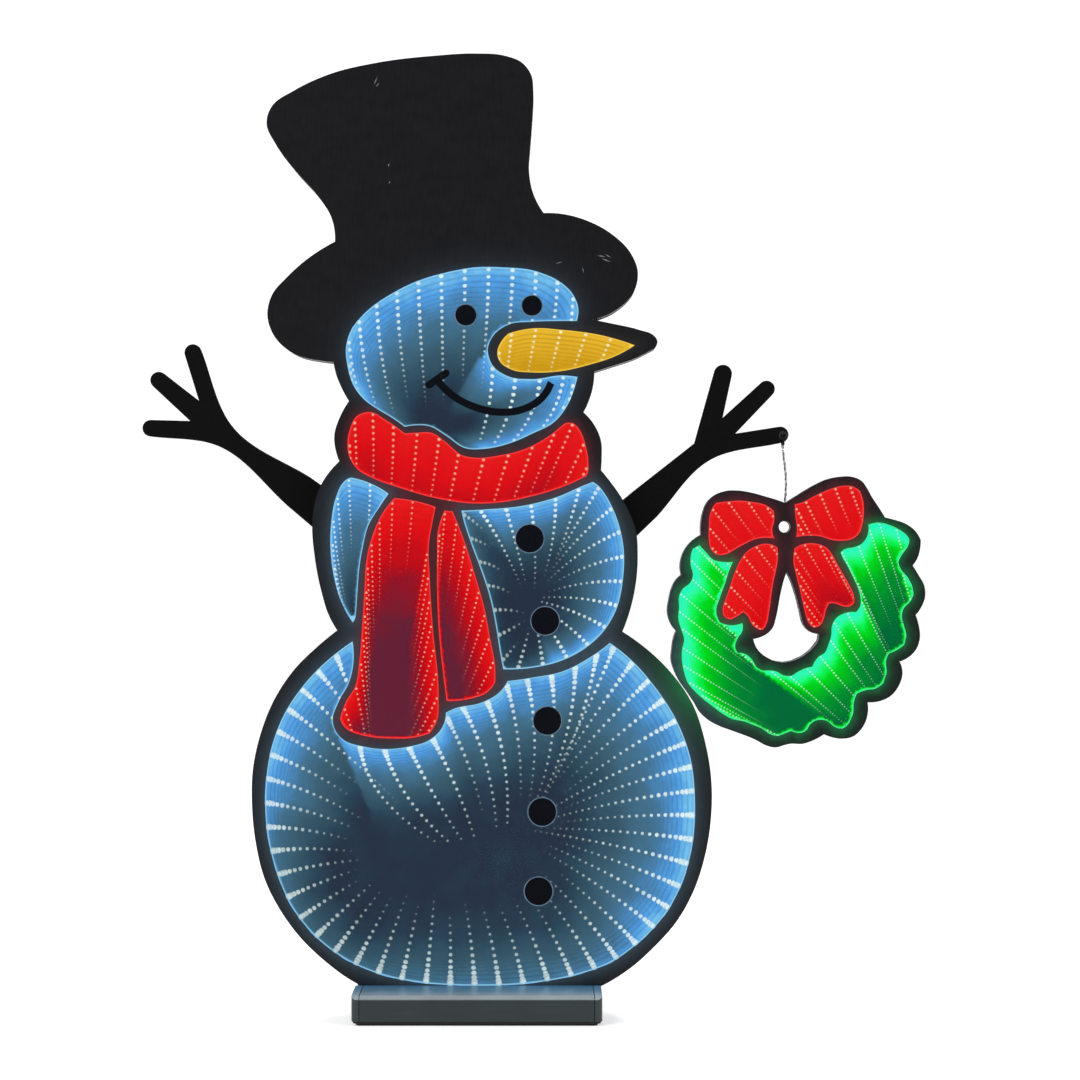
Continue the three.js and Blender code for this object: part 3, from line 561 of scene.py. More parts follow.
def metal_look(name, metallic):
    """Anodised extrusion with drawn lines, and painted light on its top: a pale painted highlight along the
    front, a painted blue reflection of the panel, and grey behind.
    """
    look = Look(name, tone(50, 58, 60), 0.4, Metallic=metallic)
    lines = look.noise(1500, 2, (0.02, 1, 1))
    patches = look.noise(25, 3)
    side = look.ramp(lines, [(0.3, tone(37, 46, 48)), (0.7, tone(46, 56, 58))])
    # painted light on the top: a painted highlight at the front edge, then the painted blue reflection of
    # the lit panel, then grey
    painted_top_light = [
        (0.0, tone(206, 220, 226)), (0.2, tone(126, 170, 198)), (0.4, tone(86, 148, 190)),
        (0.46, tone(62, 74, 78)), (1.0, tone(70, 82, 86)),
    ]
    across = look.part_of(look.position(), "Y")
    top = look.ramp(look.spread(across, -0.06, 0.06, 0, 1), painted_top_light)
    # painted light from above: faces that point up take the paler painted top, and the sides stay darker
    upward = look.part_of(look.node("ShaderNodeNewGeometry").outputs["Normal"], "Z")
    base = look.mix(look.spread(upward, 0.3, 0.95, 0, 1), side, top)
    dull = look.ramp(patches, [(0.3, tone(225, 225, 225)), (0.7, tone(255, 255, 255))])
    look.link(look.mix(1, base, dull, "MULTIPLY"), "Base Color")
    look.link(look.spread(lines, 0.3, 0.7, 0.3, 0.48), "Roughness")
    look.bump(lines, 0.15, 0.0001)
    return look.material


def halo_look():
    """The bare ring of mirror that shows round each printed mark, painted as a pale blue glow."""
    look = Look("mark_halo", tone(0, 0, 0), 0.4, Specular_IOR_Level=0.2)
    look.emit(look.ramp(look.noise(200, 2), [(0.3, tone(72, 96, 118)), (0.7, tone(106, 132, 150))]))
    return look.material


PRINT = print_look()
MARK = grained("mark_print", tone(4, 6, 13), tone(8, 11, 20), 0.5, 700, 0.1, Specular_IOR_Level=0.05)
HALO = halo_look()
SCUFF = grained("scuff", tone(96, 94, 92), tone(140, 138, 134), 0.6, 900, 0.1)
SHEET = rippled("two_way_mirror", tone(40, 56, 70), 0.05, 14, 0.05, Alpha=0.02)
ACRYLIC_EDGE = edge_look()
FRAME = grained("black_frame", tone(24, 24, 26), tone(36, 36, 38), 0.6, 500, 0.3)
COVER = grained("black_cover", tone(18, 18, 20), tone(29, 29, 31), 0.62, 1400, 0.5, Specular_IOR_Level=0.3)
ARM = grained("black_board", tone(7, 7, 8), tone(12, 12, 13), 0.6, 350, 0.25, Specular_IOR_Level=0.05)
MIRROR = rippled("mirror_sheet", tone(215, 222, 228), 0.03, 20, 0.03, Metallic=1.0)
METAL = metal_look("gunmetal", 0.3)
CAP = metal_look("foot_cap", 0.1)
MOULDING = grained("black_moulding", tone(38, 45, 47), tone(47, 54, 56), 0.5, 900, 0.25)
RUBBER = grained("soft_rubber", tone(16, 16, 17), tone(28, 28, 29), 0.8, 600, 0.3)
STEEL = grained("steel", tone(150, 153, 156), tone(190, 192, 195), 0.3, 400, 0.1, Metallic=1.0)
PCB = grained("circuit_board", tone(12, 66, 34), tone(22, 92, 48), 0.4, 250, 0.2)
WIRE = grained("ribbon_wire", tone(30, 30, 32), tone(48, 48, 50), 0.5, 300, 0.2, (8, 1, 1))
LEAD_GREY = grained("lead_grey", tone(150, 150, 156), tone(188, 188, 192), 0.35, 500, 0.1)
LEAD_DARK = grained("lead_dark", tone(72, 72, 76), tone(104, 104, 108), 0.35, 500, 0.1)
SLEEVE = grained("lead_sleeve", tone(12, 12, 13), tone(20, 20, 21), 0.6, 500, 0.1, Specular_IOR_Level=0.1)
# painted reflections of the LEDs, which glow though they are no lamps
LED_REFLECTIONS = painted_reflection_look()


# ---- The lit cells ----
@dataclass
class Family:
    """The colours of one LED colour, from the wall of a cell to its depth."""

    stops: list
    edge: tuple
    near: tuple
    spill: tuple
    slot: str
    line: float = 0.22  # how dark the line between two reflections is
    reach: float = 5.5  # how far its spill carries over the print, in mm


@dataclass
class Cell:
    """How the reflections in a cell run: towards the line between two points (its focus)."""

    family: str
    focus: tuple
    share: float  # by how much each reflection shrinks towards the focus
    fade: float  # the number of reflections after which most light is gone
    run: float  # length of the dotted streaks in mm
    step: float  # widest gap between a streak's dots in mm
    bend: float = 0.0  # how far streaks set out along `sweep`, or else straight off the wall
    sweep: tuple = None
    lean: float = 0.0  # how far streaks from above are carried to the right
    dark_way: tuple = (0, 0)  # walls on this side show little light
    size: float = 1.0  # of the dots
    tooth: float = 0.0  # how far the images at the wall swell and merge
    spill: float = 1.0  # how strongly it lights the print beside it
    goals: tuple = None  # the line that the streaks run to, where it isn't the focus
    pitch: float = LED_PITCH  # how far apart the streaks start along the wall


def spot(x, z):
    """A focus line that is a single point."""
    return ((x, z), (x, z))


FAMILIES = {
    "white": Family(
        stops=[
            (0.0, tone(118, 196, 244)), (0.1, tone(84, 162, 232)), (0.22, tone(76, 138, 190)),
            (0.36, tone(68, 114, 144)), (0.6, tone(58, 93, 111)), (0.85, tone(42, 68, 86)),
            (1.0, tone(38, 50, 68)),
        ],
        edge=tone(150, 216, 250), near=tone(236, 255, 254), spill=tone(54, 72, 84), slot="led_white",
    ),
    "red": Family(
        stops=[
            (0.0, tone(236, 26, 26)), (0.3, tone(224, 12, 16)), (0.55, tone(190, 10, 22)),
            (0.72, tone(146, 18, 36)), (0.92, tone(100, 32, 52)),
        ],
        edge=tone(255, 66, 66), near=tone(255, 184, 156), spill=tone(84, 20, 26), slot="led_red",
        line=0.1, reach=3.0,
    ),
    "amber": Family(
        stops=[(0.0, tone(240, 188, 46)), (0.4, tone(212, 160, 24)), (1.0, tone(186, 132, 8))],
        edge=tone(255, 214, 80), near=tone(255, 250, 200), spill=tone(52, 46, 40), slot="led_amber",
        line=0.24, reach=3.5,
    ),
    "green": Family(
        stops=[
            (0.0, tone(30, 255, 204)), (0.12, tone(50, 255, 178)), (0.24, tone(20, 250, 96)),
            (0.36, tone(0, 222, 24)), (0.48, tone(0, 196, 24)), (0.7, tone(0, 146, 42)),
            (0.9, tone(0, 106, 52)),
        ],
        edge=tone(66, 244, 124), near=tone(196, 255, 232), spill=tone(8, 112, 58), slot="led_green",
        line=0.06, reach=3.0,
    ),
}
DOWN = (0, -1)
WREATH_FOCUS = spot(346, 113)
CELLS = {
    "head": Cell(
        "white", spot(-28, 399), share=0.042, fade=25.5, run=92, step=4.9, bend=0.8, sweep=DOWN,
        dark_way=(-2.5, -6), size=1.32, spill=0.5, goals=((-62, 384), (34, 384)),
    ),
    "nose": Cell("amber", spot(0, 250), share=0.014, fade=18, run=44, step=3.9, size=1.08, spill=0.6),
    "collar": Cell("red", spot(-70, 90), share=0.0105, fade=20, run=64, step=4.3, size=0.95),
    "torso_left": Cell(
        "white", spot(-82, 250), share=0.04, fade=24, run=56, step=3.6, bend=0.6, sweep=DOWN, size=0.85,
    ),
    "torso_right": Cell(
        "white", ((37, 268), (37, 284)), share=0.044, fade=18, run=62, step=4.9, bend=0.6,
        dark_way=(-4, -2), size=1.1, tooth=0.35,
    ),
    "scarf_tail_left": Cell(
        "red", spot(-68, 150), share=0.03, fade=11, run=60, step=3.8, bend=0.2, sweep=DOWN, size=0.7,
    ),
    "scarf_tail_right": Cell(
        "red", spot(-40, 150), share=0.035, fade=7.5, run=50, step=3.6, bend=0.1, sweep=DOWN, size=0.7,
    ),
    "belly": Cell(
        "white", ((-62, 104), (28, 126)), share=0.034, fade=23, run=108, step=6.1, bend=0.55, lean=0.35,
        dark_way=(-1.2, -1.6), size=1.22, tooth=0.9,
    ),
    "greenery": Cell("green", WREATH_FOCUS, share=0.0085, fade=21, run=74, step=2.5, size=0.58, pitch=12.8),
    "bow_loop_left": Cell("red", WREATH_FOCUS, share=0.0105, fade=34, run=34, step=3.1, size=0.72, pitch=14),
    "bow_loop_right": Cell(
        "red", WREATH_FOCUS, share=0.0115, fade=34, run=34, step=3.3, size=0.86, pitch=11.5,
    ),
    "bow_tail_left": Cell("red", WREATH_FOCUS, share=0.0115, fade=34, run=34, step=3.1, size=0.7, pitch=12),
    "bow_tail_right": Cell("red", WREATH_FOCUS, share=0.0125, fade=24, run=34, step=3.1, size=0.7, pitch=12),
}
Unit = namedtuple("Unit", "film sheet mirror body")
PANEL = Unit("front_print_film", "front_mirror_sheet", "back_mirror_sheet", "panel")
WREATH = Unit("wreath_print_film", "wreath_mirror_sheet", "wreath_back_mirror", "wreath")
GLOWS = {name: glow_look(f"glow_{name}", family) for name, family in FAMILIES.items()}
STRIPS = {name: strip_look(f"strip_{name}", family.stops[1][1]) for name, family in FAMILIES.items()}


def cell_round(hole, middle_slack=2.5, size_slack=5.0):
    """The name of the cell whose LED strip runs round this hole of a film, or None."""
    middle = (hole.min(0) + hole.max(0)) / 2
    size = np.ptp(hole, axis=0)
    for name in CELLS:
        low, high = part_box(f"led_strip_{name}")
        low, high = (np.array([corner.x, corner.z]) / MM for corner in (low, high))
        middle_gap = np.abs((low + high) / 2 - middle).max()
        size_gap = np.abs(high - low - size).max()
        if middle_gap < middle_slack and size_gap < size_slack:
            return name
    return None


def windows_of(unit):
    """The film's outline, its plain openings, and its lit windows by cell name."""
    front, _ = depths(unit.film)
    outline, *holes = [smooth(loop) for loop in flat_loops(unit.film, front)]
    named = [(cell_round(hole), hole) for hole in holes]
    openings = [hole for name, hole in named if name is None]
    windows = {name: hole for name, hole in named if name is not None}
    return outline, openings, windows


def closest(points, focus):
    """The point of the focus line nearest to each point."""
    start, end = np.array(focus, float)
    chord = end - start
    square = max(float(chord @ chord), 1e-9)
    t = np.clip((points - start) @ chord / square, 0, 1)
    return start + t[:, None] * chord


def reflections(points, cell, window):
    """How many reflections deep each point of a cell is, and how much of the light is gone there."""
    away = points - closest(points, cell.focus)
    length = np.maximum(lengths_of(away), 0.5)
    ways = away / length[:, None]
    nudged = points - ways * 0.02
    ratio = (length + way_out(nudged, ways, [window])) / length
    bounce = (ratio - 1) / cell.share
    dimming = np.maximum(ways @ np.array(cell.dark_way, float), 0)
    return bounce, 1 - np.exp(-bounce * (1 + dimming) / cell.fade - dimming * 0.3)


SHEET_GAP = 0.15  # between a front sheet and the edge of the lit surface behind it
MIRROR_GAP = 0.85  # between the lit surface and the back mirror, at its deepest
BASIN_REACH = 26.0  # this far from its wall, a lit surface is nearly two thirds of the way down


def relief(gap, unit):
    """The y of a cell's lit surface at this distance from its wall."""
    _, front = depths(unit.sheet)
    back, _ = depths(unit.mirror)
    fall = back - front - SHEET_GAP - MIRROR_GAP
    return front + SHEET_GAP + fall * (1 - np.exp(-gap / BASIN_REACH))


def glow_surface(name, window, unit):
    """A shallow basin behind the front sheet that holds a cell's reflections."""
    cell = CELLS[name]
    spots, triangles, _ = fill(oriented([window]), 2.3)
    gap = distance(spots, [window])
    shape = at_depth(spots, relief(gap, unit)), triangles
    made = piece(f"lit_depth_{name}", shape, GLOWS[cell.family], unit.body, 80)
    bounce, depth = reflections(spots, cell, window)
    attribute(made, "bounce", np.minimum(bounce, 60))
    attribute(made, "depth", depth)
    attribute(made, "rim", gap)


def glow_colour(family, depth):
    """The colour of the glow at each depth."""
    places = [place for place, _ in family.stops]
    colours = np.array([colour for _, colour in family.stops])
    return np.stack([np.interp(depth, places, channel) for channel in colours.T], 1)


def spread_along(loop, pitch):
    """Points at an even pitch along a loop, with the direction into it at each."""
    loop = oriented([loop])[0]
    closed = np.concatenate([loop, loop[:1]])
    travelled = np.concatenate([[0], np.cumsum(lengths_of(np.diff(closed, axis=0)))])
    count = max(3, round(travelled[-1] / pitch))
    at = (np.arange(count) + 0.5) / count * travelled[-1]
    spots = np.stack([np.interp(at, travelled, closed[:, i]) for i in (0, 1)], 1)
    index = np.clip(np.searchsorted(travelled, at) - 1, 0, len(loop) - 1)
    return spots, leftward(loop)[index]


FIRST_IMAGE = 1.3  # how far from the wall a streak starts
NEIGHBOUR_WEIGHTS = ((1, 0.9), (2, 0.5))  # of the streaks one and two places along the wall
LEAST_FACING = 0.02  # a wall that faces its goal less than this shows no streak
DARKEST_WALL = 4.5  # a wall dimmed more than this shows no streak
LAST_PLACE = 0.9  # the share of the way to its goal at which a streak ends
TOOTH_REACH = 13.0  # how far from the wall the images stay swollen
MERGING = 0.8  # how far merged images close up
CLOSING = 0.4  # how far the images close up towards a streak's end


def evened(inward):
    """The directions off a wall, each evened out with its neighbours'."""
    blend = inward
    for offset, weight in NEIGHBOUR_WEIGHTS:
        blend = blend + weight * (np.roll(inward, offset, 0) + np.roll(inward, -offset, 0))
    return directions(blend)


def streak_curves(cell, window, starts, inward):
    """Where each streak is bound, and the control point that bends it on its way."""
    low, high = window.min(0), window.max(0)
    share = (starts[:, :1] - low[0]) / (high[0] - low[0])
    first, last = np.array(cell.goals or cell.focus, float)
    goals = first + (last - first) * share
    shift = cell.lean * np.maximum(starts[:, 1] - goals[:, 1], 0)
    goals[:, 0] = np.clip(goals[:, 0] + shift, first[0], last[0])
    sweep = evened(inward) if cell.sweep is None else np.array(cell.sweep, float)
    spans = lengths_of(goals - starts)[:, None]
    controls = starts + (goals - starts) * 0.5 * (1 - cell.bend) + sweep * spans * 0.5 * cell.bend
    return goals, controls


def led_images(name, window):
    """Rows of shrinking, fading dots, painted as the LEDs' reflections: one row for each LED, bending
    towards the focus.

    Each dot is its place, how far it has travelled in mm and as a share of its run, and its strength.
    """
    cell = CELLS[name]
    starts, inward = spread_along(window, cell.pitch)
    starts = starts + inward * FIRST_IMAGE
    goals, controls = streak_curves(cell, window, starts, inward)
    spans = lengths_of(goals - starts)
    dimming = np.maximum(-inward @ np.array(cell.dark_way, float), 0)
    runs = cell.run / (1 + 0.5 * dimming) * RANDOM.uniform(0.82, 1.08, len(starts))
    facing = np.sum(inward * (goals - starts), 1) / spans
    alive = (facing > LEAST_FACING) & (dimming < DARKEST_WALL)
    travelled = 0.0
    dots = []
    while alive.any():
        t = (travelled / spans)[:, None]
        points = (1 - t) ** 2 * starts + 2 * t * (1 - t) * controls + t * t * goals
        alive &= (travelled < runs) & (t[:, 0] < LAST_PLACE) & inside(points, [window])
        for i in np.flatnonzero(alive):
            dots.append((points[i], travelled, travelled / runs[i], 1 / (1 + 0.2 * dimming[i])))
        merging = MERGING * cell.tooth * math.exp(-travelled / TOOTH_REACH)
        travelled += cell.step * (1 - merging) * (1 - CLOSING * min(1, travelled / cell.run))
    return dots


DOT_SIDES = 8
DOT_TOP = 0.42
DOT_RINGS = ((0.62, 0.38), (1.0, 0.2))  # each ring's share of the radius, and how far it is raised in mm


def dot_mesh(name, dots, window, unit):
    """Low domes for the LED images, with the colour of each stored on its vertices."""
    cell = CELLS[name]
    family = FAMILIES[cell.family]
    points = np.array([point for point, *_ in dots])
    level = relief(distance(points, [window]), unit)
    _, glow_depth = reflections(points, cell, window)
    near = np.array(family.near)
    corners = circle(DOT_SIDES)
    vertices, faces, colours = [], [], []
    for (point, travelled, depth, strength), y, ground in zip(dots, level, glow_colour(family, glow_depth)):
        swell = 0.75 * cell.tooth * math.exp(-travelled / TOOTH_REACH)
        radius = cell.size * (1.22 + swell - 0.72 * depth) * RANDOM.uniform(0.88, 1.1)
        fade = (1 - depth**1.4) * strength * RANDOM.uniform(0.78, 1.0)
        bright = ground + (near - ground) * fade
        dim = ground + (near - ground) * fade * 0.5
        first = len(vertices)
        vertices.append((point[0], y - DOT_TOP, point[1]))
        colours.append(bright)
        for (reach, lift), colour in zip(DOT_RINGS, (bright, dim)):
            vertices += [(x, y - lift, z) for x, z in point + corners * radius * reach]
            colours += [colour] * DOT_SIDES
        inner, outer = first + 1, first + 1 + DOT_SIDES
        for i in range(DOT_SIDES):
            j = (i + 1) % DOT_SIDES
            faces.append([first, inner + i, inner + j])
            faces.append([inner + i, outer + i, outer + j, inner + j])
    return (vertices, faces), colours


def make_cells(unit, windows):
    for name, window in windows.items():
        glow_surface(name, window, unit)
        shape, colours = dot_mesh(name, led_images(name, window), window, unit)
        made = piece(f"led_images_{name}", shape, LED_REFLECTIONS, unit.body, 80)
        # the colour of each painted LED reflection
        attribute(made, "lamp", colours, "FLOAT_COLOR")


# ---- The printed film and the front sheet ----
SPILL = 0.62  # the share of a family's spill that falls right beside a window
NEIGHBOUR_SPREAD = 3.2  # the other unit's light reaches this many times as far
NEIGHBOUR_GAIN = 2.2  # and is this many times as strong


def spill_on(points, windows, spread=1.0):
    """The light that the cells throw on the print beside them."""
    total = np.zeros((len(points), 4))
    for name, window in windows.items():
        cell = CELLS[name]
        family = FAMILIES[cell.family]
        gap = distance(points, [window])
        strength = SPILL * cell.spill * np.exp(-gap / (family.reach * spread))
        total += strength[:, None] * np.array(family.spill)
    return total


def make_film(unit, outline, openings, windows, neighbours):
    """The black print, with the light of its own cells and of the other unit's cells on it."""
    name = unit.film
    shape = board([outline, *openings, *windows.values()], *depths(name), 0.08, 4.5)
    made = piece(f"{name}_fine", shape, PRINT, unit.body, replaces=[name])
    flat = shape[0][:, [0, 2]]
    spill = spill_on(flat, windows) + NEIGHBOUR_GAIN * spill_on(flat, neighbours, NEIGHBOUR_SPREAD)
    spill[:, 3] = 1
    attribute(made, "spill", spill, "FLOAT_COLOR")


def make_sheet(unit, outline, openings):
    """The two-way mirror, with polished edges."""
    name = unit.sheet
    shape = board([outline, *openings], *depths(name), 0.2)
    made = piece(f"{name}_fine", shape, SHEET, unit.body, replaces=[name])
    made.data.materials.append(ACRYLIC_EDGE)
    for face in made.data.polygons:
        face.material_index = 0 if abs(face.normal.y) > 0.9 else 1


# ---- The printed marks ----
HALO_WIDTH = 0.65
HALO_SIDES = 48
SCRATCHES = (  # the ends and the half width of each scratch on the hat
    ((-71.0, 632.5), (-68.6, 638.5), 0.34),
    ((-69.6, 631.0), (-67.4, 634.5), 0.3),
    ((-61.4, 577.0), (-60.6, 579.2), 0.4),
    ((-61.0, 565.5), (-59.8, 567.0), 0.4),
    ((81.0, 516.5), (86.5, 515.8), 0.4),
    ((84.0, 514.6), (90.0, 512.2), 0.45),
    ((86.0, 517.6), (90.5, 515.0), 0.3),
    ((52.5, 511.0), (57.5, 512.4), 0.24),
    ((71.0, 508.5), (71.8, 504.5), 0.24),
)


def flat_ring(centre, inner, outer, y):
    """Vertices and faces of a flat ring that faces the front."""
    corners = circle(HALO_SIDES)
    points = np.concatenate([centre + corners * outer, centre + corners * inner])
    return at_depth(points, y), skin(2, HALO_SIDES)


def make_mark(name):
    """A printed disc with the thin bare ring round it."""
    front, back = depths(name)
    loops = [smooth(loop) for loop in flat_loops(name, front)]
    centre = loops[0].mean(0)
    radius = lengths_of(loops[0] - centre).mean()
    disc = board(loops, front, back, 0.08)
    piece(f"{name}_fine", disc, MARK, "panel", replaces=[name])
    ring = flat_ring(centre, radius, radius + HALO_WIDTH, front + 0.25)
    piece(f"{name}_halo", ring, HALO, "panel")


def make_marks():
    for name in sorted(NODES):
        if name.startswith(("eye_", "coal_button_")):
            make_mark(name)
    board_like("smile", MARK, "panel", 0.08, 1.0)


def make_scuffs():
    """A few fine scratches on the hat, a hair proud of the film."""
    front, _ = depths("front_print_film")
    parts = []
    for start, end, width in SCRATCHES:
        start, end = np.array(start), np.array(end)
        chord = end - start
        side = np.array([-chord[1], chord[0]]) / np.linalg.norm(chord) * width
        outline = np.array([start, start + chord * 0.5 - side, end, start + chord * 0.45 + side * 0.7])
        parts.append(board([outline], front - 0.03, front - 0.005, 0.005))
    piece("hat_scuffs", joined(parts), SCUFF, "panel")


# ---- Screws ----
HEAD_RADIUS = 3.0
HEAD_HEIGHT = 1.6
RECESS_SHARE = 0.75  # how deep the cross is, as a share of the head's height


def cross_outline(arm, half):
    """The outline of a cross whose arms have this length and half width."""
    corners = []
    for quarter in range(4):
        c, s = math.cos(quarter * math.pi / 2), math.sin(quarter * math.pi / 2)
        corners += [(x * c - y * s, x * s + y * c) for x, y in ((arm, -half), (arm, half), (half, half))]
    return np.array(corners)


def screw_head():
    """Vertices and faces of a pan head with a cross recess, standing on height 0."""
    profile = [
        (HEAD_RADIUS, 0.0),
        (HEAD_RADIUS, HEAD_HEIGHT * 0.25),
        (HEAD_RADIUS * 0.9, HEAD_HEIGHT * 0.7),
        (HEAD_RADIUS * 0.62, HEAD_HEIGHT),
    ]
    dome = lathe(profile)
    underside, _ = caps(len(profile), LATHE_SIDES)
    cross = cross_outline(HEAD_RADIUS * 0.55, HEAD_RADIUS * 0.13)
    flat, triangles, place = fill([dome[-LATHE_SIDES:, :2], cross])
    top = len(dome)
    floor = top + len(flat)
    recess = at_height(cross, HEAD_HEIGHT * (1 - RECESS_SHARE))
    vertices = np.concatenate([dome, at_height(flat, HEAD_HEIGHT), recess])
    faces = [*skin(len(profile), LATHE_SIDES), underside, *(triangles + top).tolist()]
    for i, j in loop_edges([cross]):
        faces.append([top + place[LATHE_SIDES + i], top + place[LATHE_SIDES + j], floor + j, floor + i])
    faces.append(list(range(floor, floor + len(cross))))
    return vertices, faces


def from_behind(vertices, centre, face, angle=0.0):
    """Vertices turned by an angle and stood on a back face, with their height pointing backwards."""
    c, s = math.cos(angle), math.sin(angle)
    x, y, height = vertices.T
    return np.column_stack([centre[0] + c * x - s * y, face + height, centre[1] - s * x - c * y])


def make_screws():
    """The cover's and the arms' screws, each turned its own way. Both arms lie at one depth."""
    vertices, faces = screw_head()
    for start, held in (("arm_screw", "twig_arm_left"), ("cover_screw", "rear_cover")):
        _, face = depths(held)
        for name in sorted(node for node in NODES if node.startswith(start)):
            middle = centre_of(name)
            angle = 0.3 + 0.7 * (sum(map(ord, name)) % 7)
            placed = from_behind(vertices, (middle.x, middle.z), face, angle)
            piece(f"{name}_head", (placed, faces), STEEL, "panel", 40, replaces=[name])


# ---- Leads ----
LEAD_RADIUS = 0.9
LEAD_TURN = 7.0  # the length in which a pair's wires go once round each other
LEAD_STEP = 0.5
BARE_TURN = math.radians(62)  # how far up each side of the loop its wires are bare


def along(route):
    """A smooth line through a route's points at a fine step, in mm."""
    route = np.array(route, float)
    padded = np.concatenate([[2 * route[0] - route[1]], route, [2 * route[-1] - route[-2]]])
    fine = []
    for a, b, c, d in zip(padded, padded[1:], padded[2:], padded[3:]):
        count = max(2, math.ceil(np.linalg.norm(c - b) / LEAD_STEP))
        t = (np.arange(count) / count)[:, None]
        bent = (2 * a - 5 * b + 4 * c - d) * t**2 + (3 * b - a - 3 * c + d) * t**3
        fine.append(0.5 * (2 * b + (c - a) * t + bent))
    fine.append(route[-1:])
    return np.concatenate(fine)


def across(path):
    """Two unit vectors across a path at each of its points, carried along it without twist."""
    tangents = directions(np.gradient(path, axis=0))
    normal = np.cross(tangents[0], [0.3, 0.5, 0.81])
    pairs = []
    for tangent in tangents:
        normal = normal - tangent * (normal @ tangent)
        normal /= np.linalg.norm(normal)
        pairs.append((normal, np.cross(tangent, normal)))
    return pairs


def tube(path, radius, sides_count=8):
    """Vertices and faces of a round tube along a path."""
    section = circle(sides_count) * radius
    vertices = [
        place + x * normal + y * other
        for place, (normal, other) in zip(path, across(path))
        for x, y in section
    ]
    faces = [*skin(len(path), sides_count), *caps(len(path), sides_count)]
    return np.array(vertices), faces


def twisted_pair(name, route, body):
    """Two insulated wires twisted round each other along a route, in the room of the CAD lead."""
    path = along(route)
    travelled = np.concatenate([[0], np.cumsum(lengths_of(np.diff(path, axis=0)))])
    parts = []
    for phase in (0, math.pi):
        strand = []
        for place, (normal, other), way in zip(path, across(path), travelled):
            turn = phase + 2 * math.pi * way / LEAD_TURN
            strand.append(place + LEAD_RADIUS / 2 * (math.cos(turn) * normal + math.sin(turn) * other))
        parts.append(tube(np.array(strand), LEAD_RADIUS / 2))
    made = piece(f"{name}_pair", joined(parts), LEAD_GREY, body, 60, replaces=[name])
    made.data.materials.append(LEAD_DARK)
    grey_faces = len(parts[0][1])
    for i, face in enumerate(made.data.polygons):
        face.material_index = int(i >= grey_faces)


def make_arm_lead():
    """The lead that is clipped along the back of the arm, from the cover's grommet to the fingertip."""
    _, arm_back = depths("twig_arm_right")
    _, cover_back = depths("rear_cover")
    y = arm_back + 1.6
    clipped = (
        (205.5, 396), (190, 393), (173.5, 390.7), (157, 388.4),
        (135, 370), (121.5, 359), (108, 348), (82, 325),
    )
    route = [(x, y, z) for x, z in clipped]
    route += [(62, y + 0.6, 307), (53, y + 0.6, 296), (50, y - 3.4, 290), (50, cover_back - 1.5, 290)]
    twisted_pair("arm_lead", route, "panel")


def make_lead_loop():
    """The turn of lead through the fingertip: bare wires at the bottom, and in a sleeve above."""
    low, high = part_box("lead_loop")
    middle = centre_of("lead_loop")
    ring = (high.z - low.z) / 2 / MM - LEAD_RADIUS

    def on_ring(turn):
        return (middle.x, middle.y + ring * math.sin(turn), middle.z - ring * math.cos(turn))

    bare = [on_ring(turn) for turn in np.linspace(-BARE_TURN, BARE_TURN, 12)]
    twisted_pair("lead_loop", bare, "lead_loop")
    sleeve_start = 0.93 * BARE_TURN
    sleeved = [on_ring(turn) for turn in np.linspace(sleeve_start, 2 * math.pi - sleeve_start, 40)]
    sleeve = tube(np.array(sleeved), LEAD_RADIUS, 12)
    piece("lead_loop_sleeve", sleeve, SLEEVE, "lead_loop", 50)
    make_eyelet(middle.y, (middle.x, high.z / MM - LEAD_RADIUS))


def make_eyelet(y, centre):
    """The rubber grommet that lines the fingertip's hole, with a thin web closed round the lead."""
    holes = flat_loops("twig_arm_right", depths("twig_arm_right")[0])[1:]
    hole = min(holes, key=lambda loop: np.linalg.norm(loop.mean(0) - centre))
    bore = lengths_of(hole - hole.mean(0)).mean()
    half, web, lead = 2.5, 0.45, 0.92
    upper = [
        (lead, web), (bore - 0.5, web), (bore - 0.4, half - 0.1), (bore - 0.2, half + 0.05),
        (bore + 0.8, half + 0.05), (bore + 0.85, half - 0.05), (bore + 0.02, half - 0.88),
    ]
    profile = [(radius, -height) for radius, height in upper] + upper[::-1]
    faces = skin(len(profile), LATHE_SIDES)
    last = (len(profile) - 1) * LATHE_SIDES
    for i in range(LATHE_SIDES):
        j = (i + 1) % LATHE_SIDES
        faces.append([last + i, last + j, j, i])
    shape = from_behind(lathe(profile), centre, y), faces
    piece("lead_eyelet", shape, RUBBER, "panel", 40)


def make_hanging_lead():
    """The slightly curved stretch of lead that holds the wreath."""
    low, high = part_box("hanging_lead")
    middle = centre_of("hanging_lead")
    x = centre_of("lead_loop").x
    top, drop = high.z / MM, (high.z - low.z) / MM
    curve = ((0, 0), (1.9, 0.45), (2.1, 0.75), (1.4, 1))  # the shift in x at each share of the drop
    route = [(x + shift, middle.y, top - share * drop) for shift, share in curve]
    twisted_pair("hanging_lead", route, "hanging_lead")


# ---- CAD nodes that are shown as they are ----
PLAIN_NODES = {  # the material of each, and how far its sharp edges are rounded in mm
    "back_mirror_sheet": (MIRROR, 0),
    "wreath_back_mirror": (MIRROR, 0),
    "base_channel": (METAL, 0.8),
    "base_end_cap_left": (CAP, 0.8),
    "base_end_cap_right": (CAP, 0.8),
    "base_screw_left": (STEEL, 0),
    "base_screw_right": (STEEL, 0),
    "base_bottom_plate": (RUBBER, 0),
    "base_pad": (RUBBER, 0.3),
    "control_board": (PCB, 0),
    "wiring_harness": (WIRE, 0),
    "dc_inlet": (MOULDING, 0.6),
    "lead_grommet": (RUBBER, 0.4),
    "lead_clip_1": (RUBBER, 0.4),
    "lead_clip_2": (RUBBER, 0.4),
    **{f"led_strip_{name}": (STRIPS[cell.family], 0) for name, cell in CELLS.items()},
}


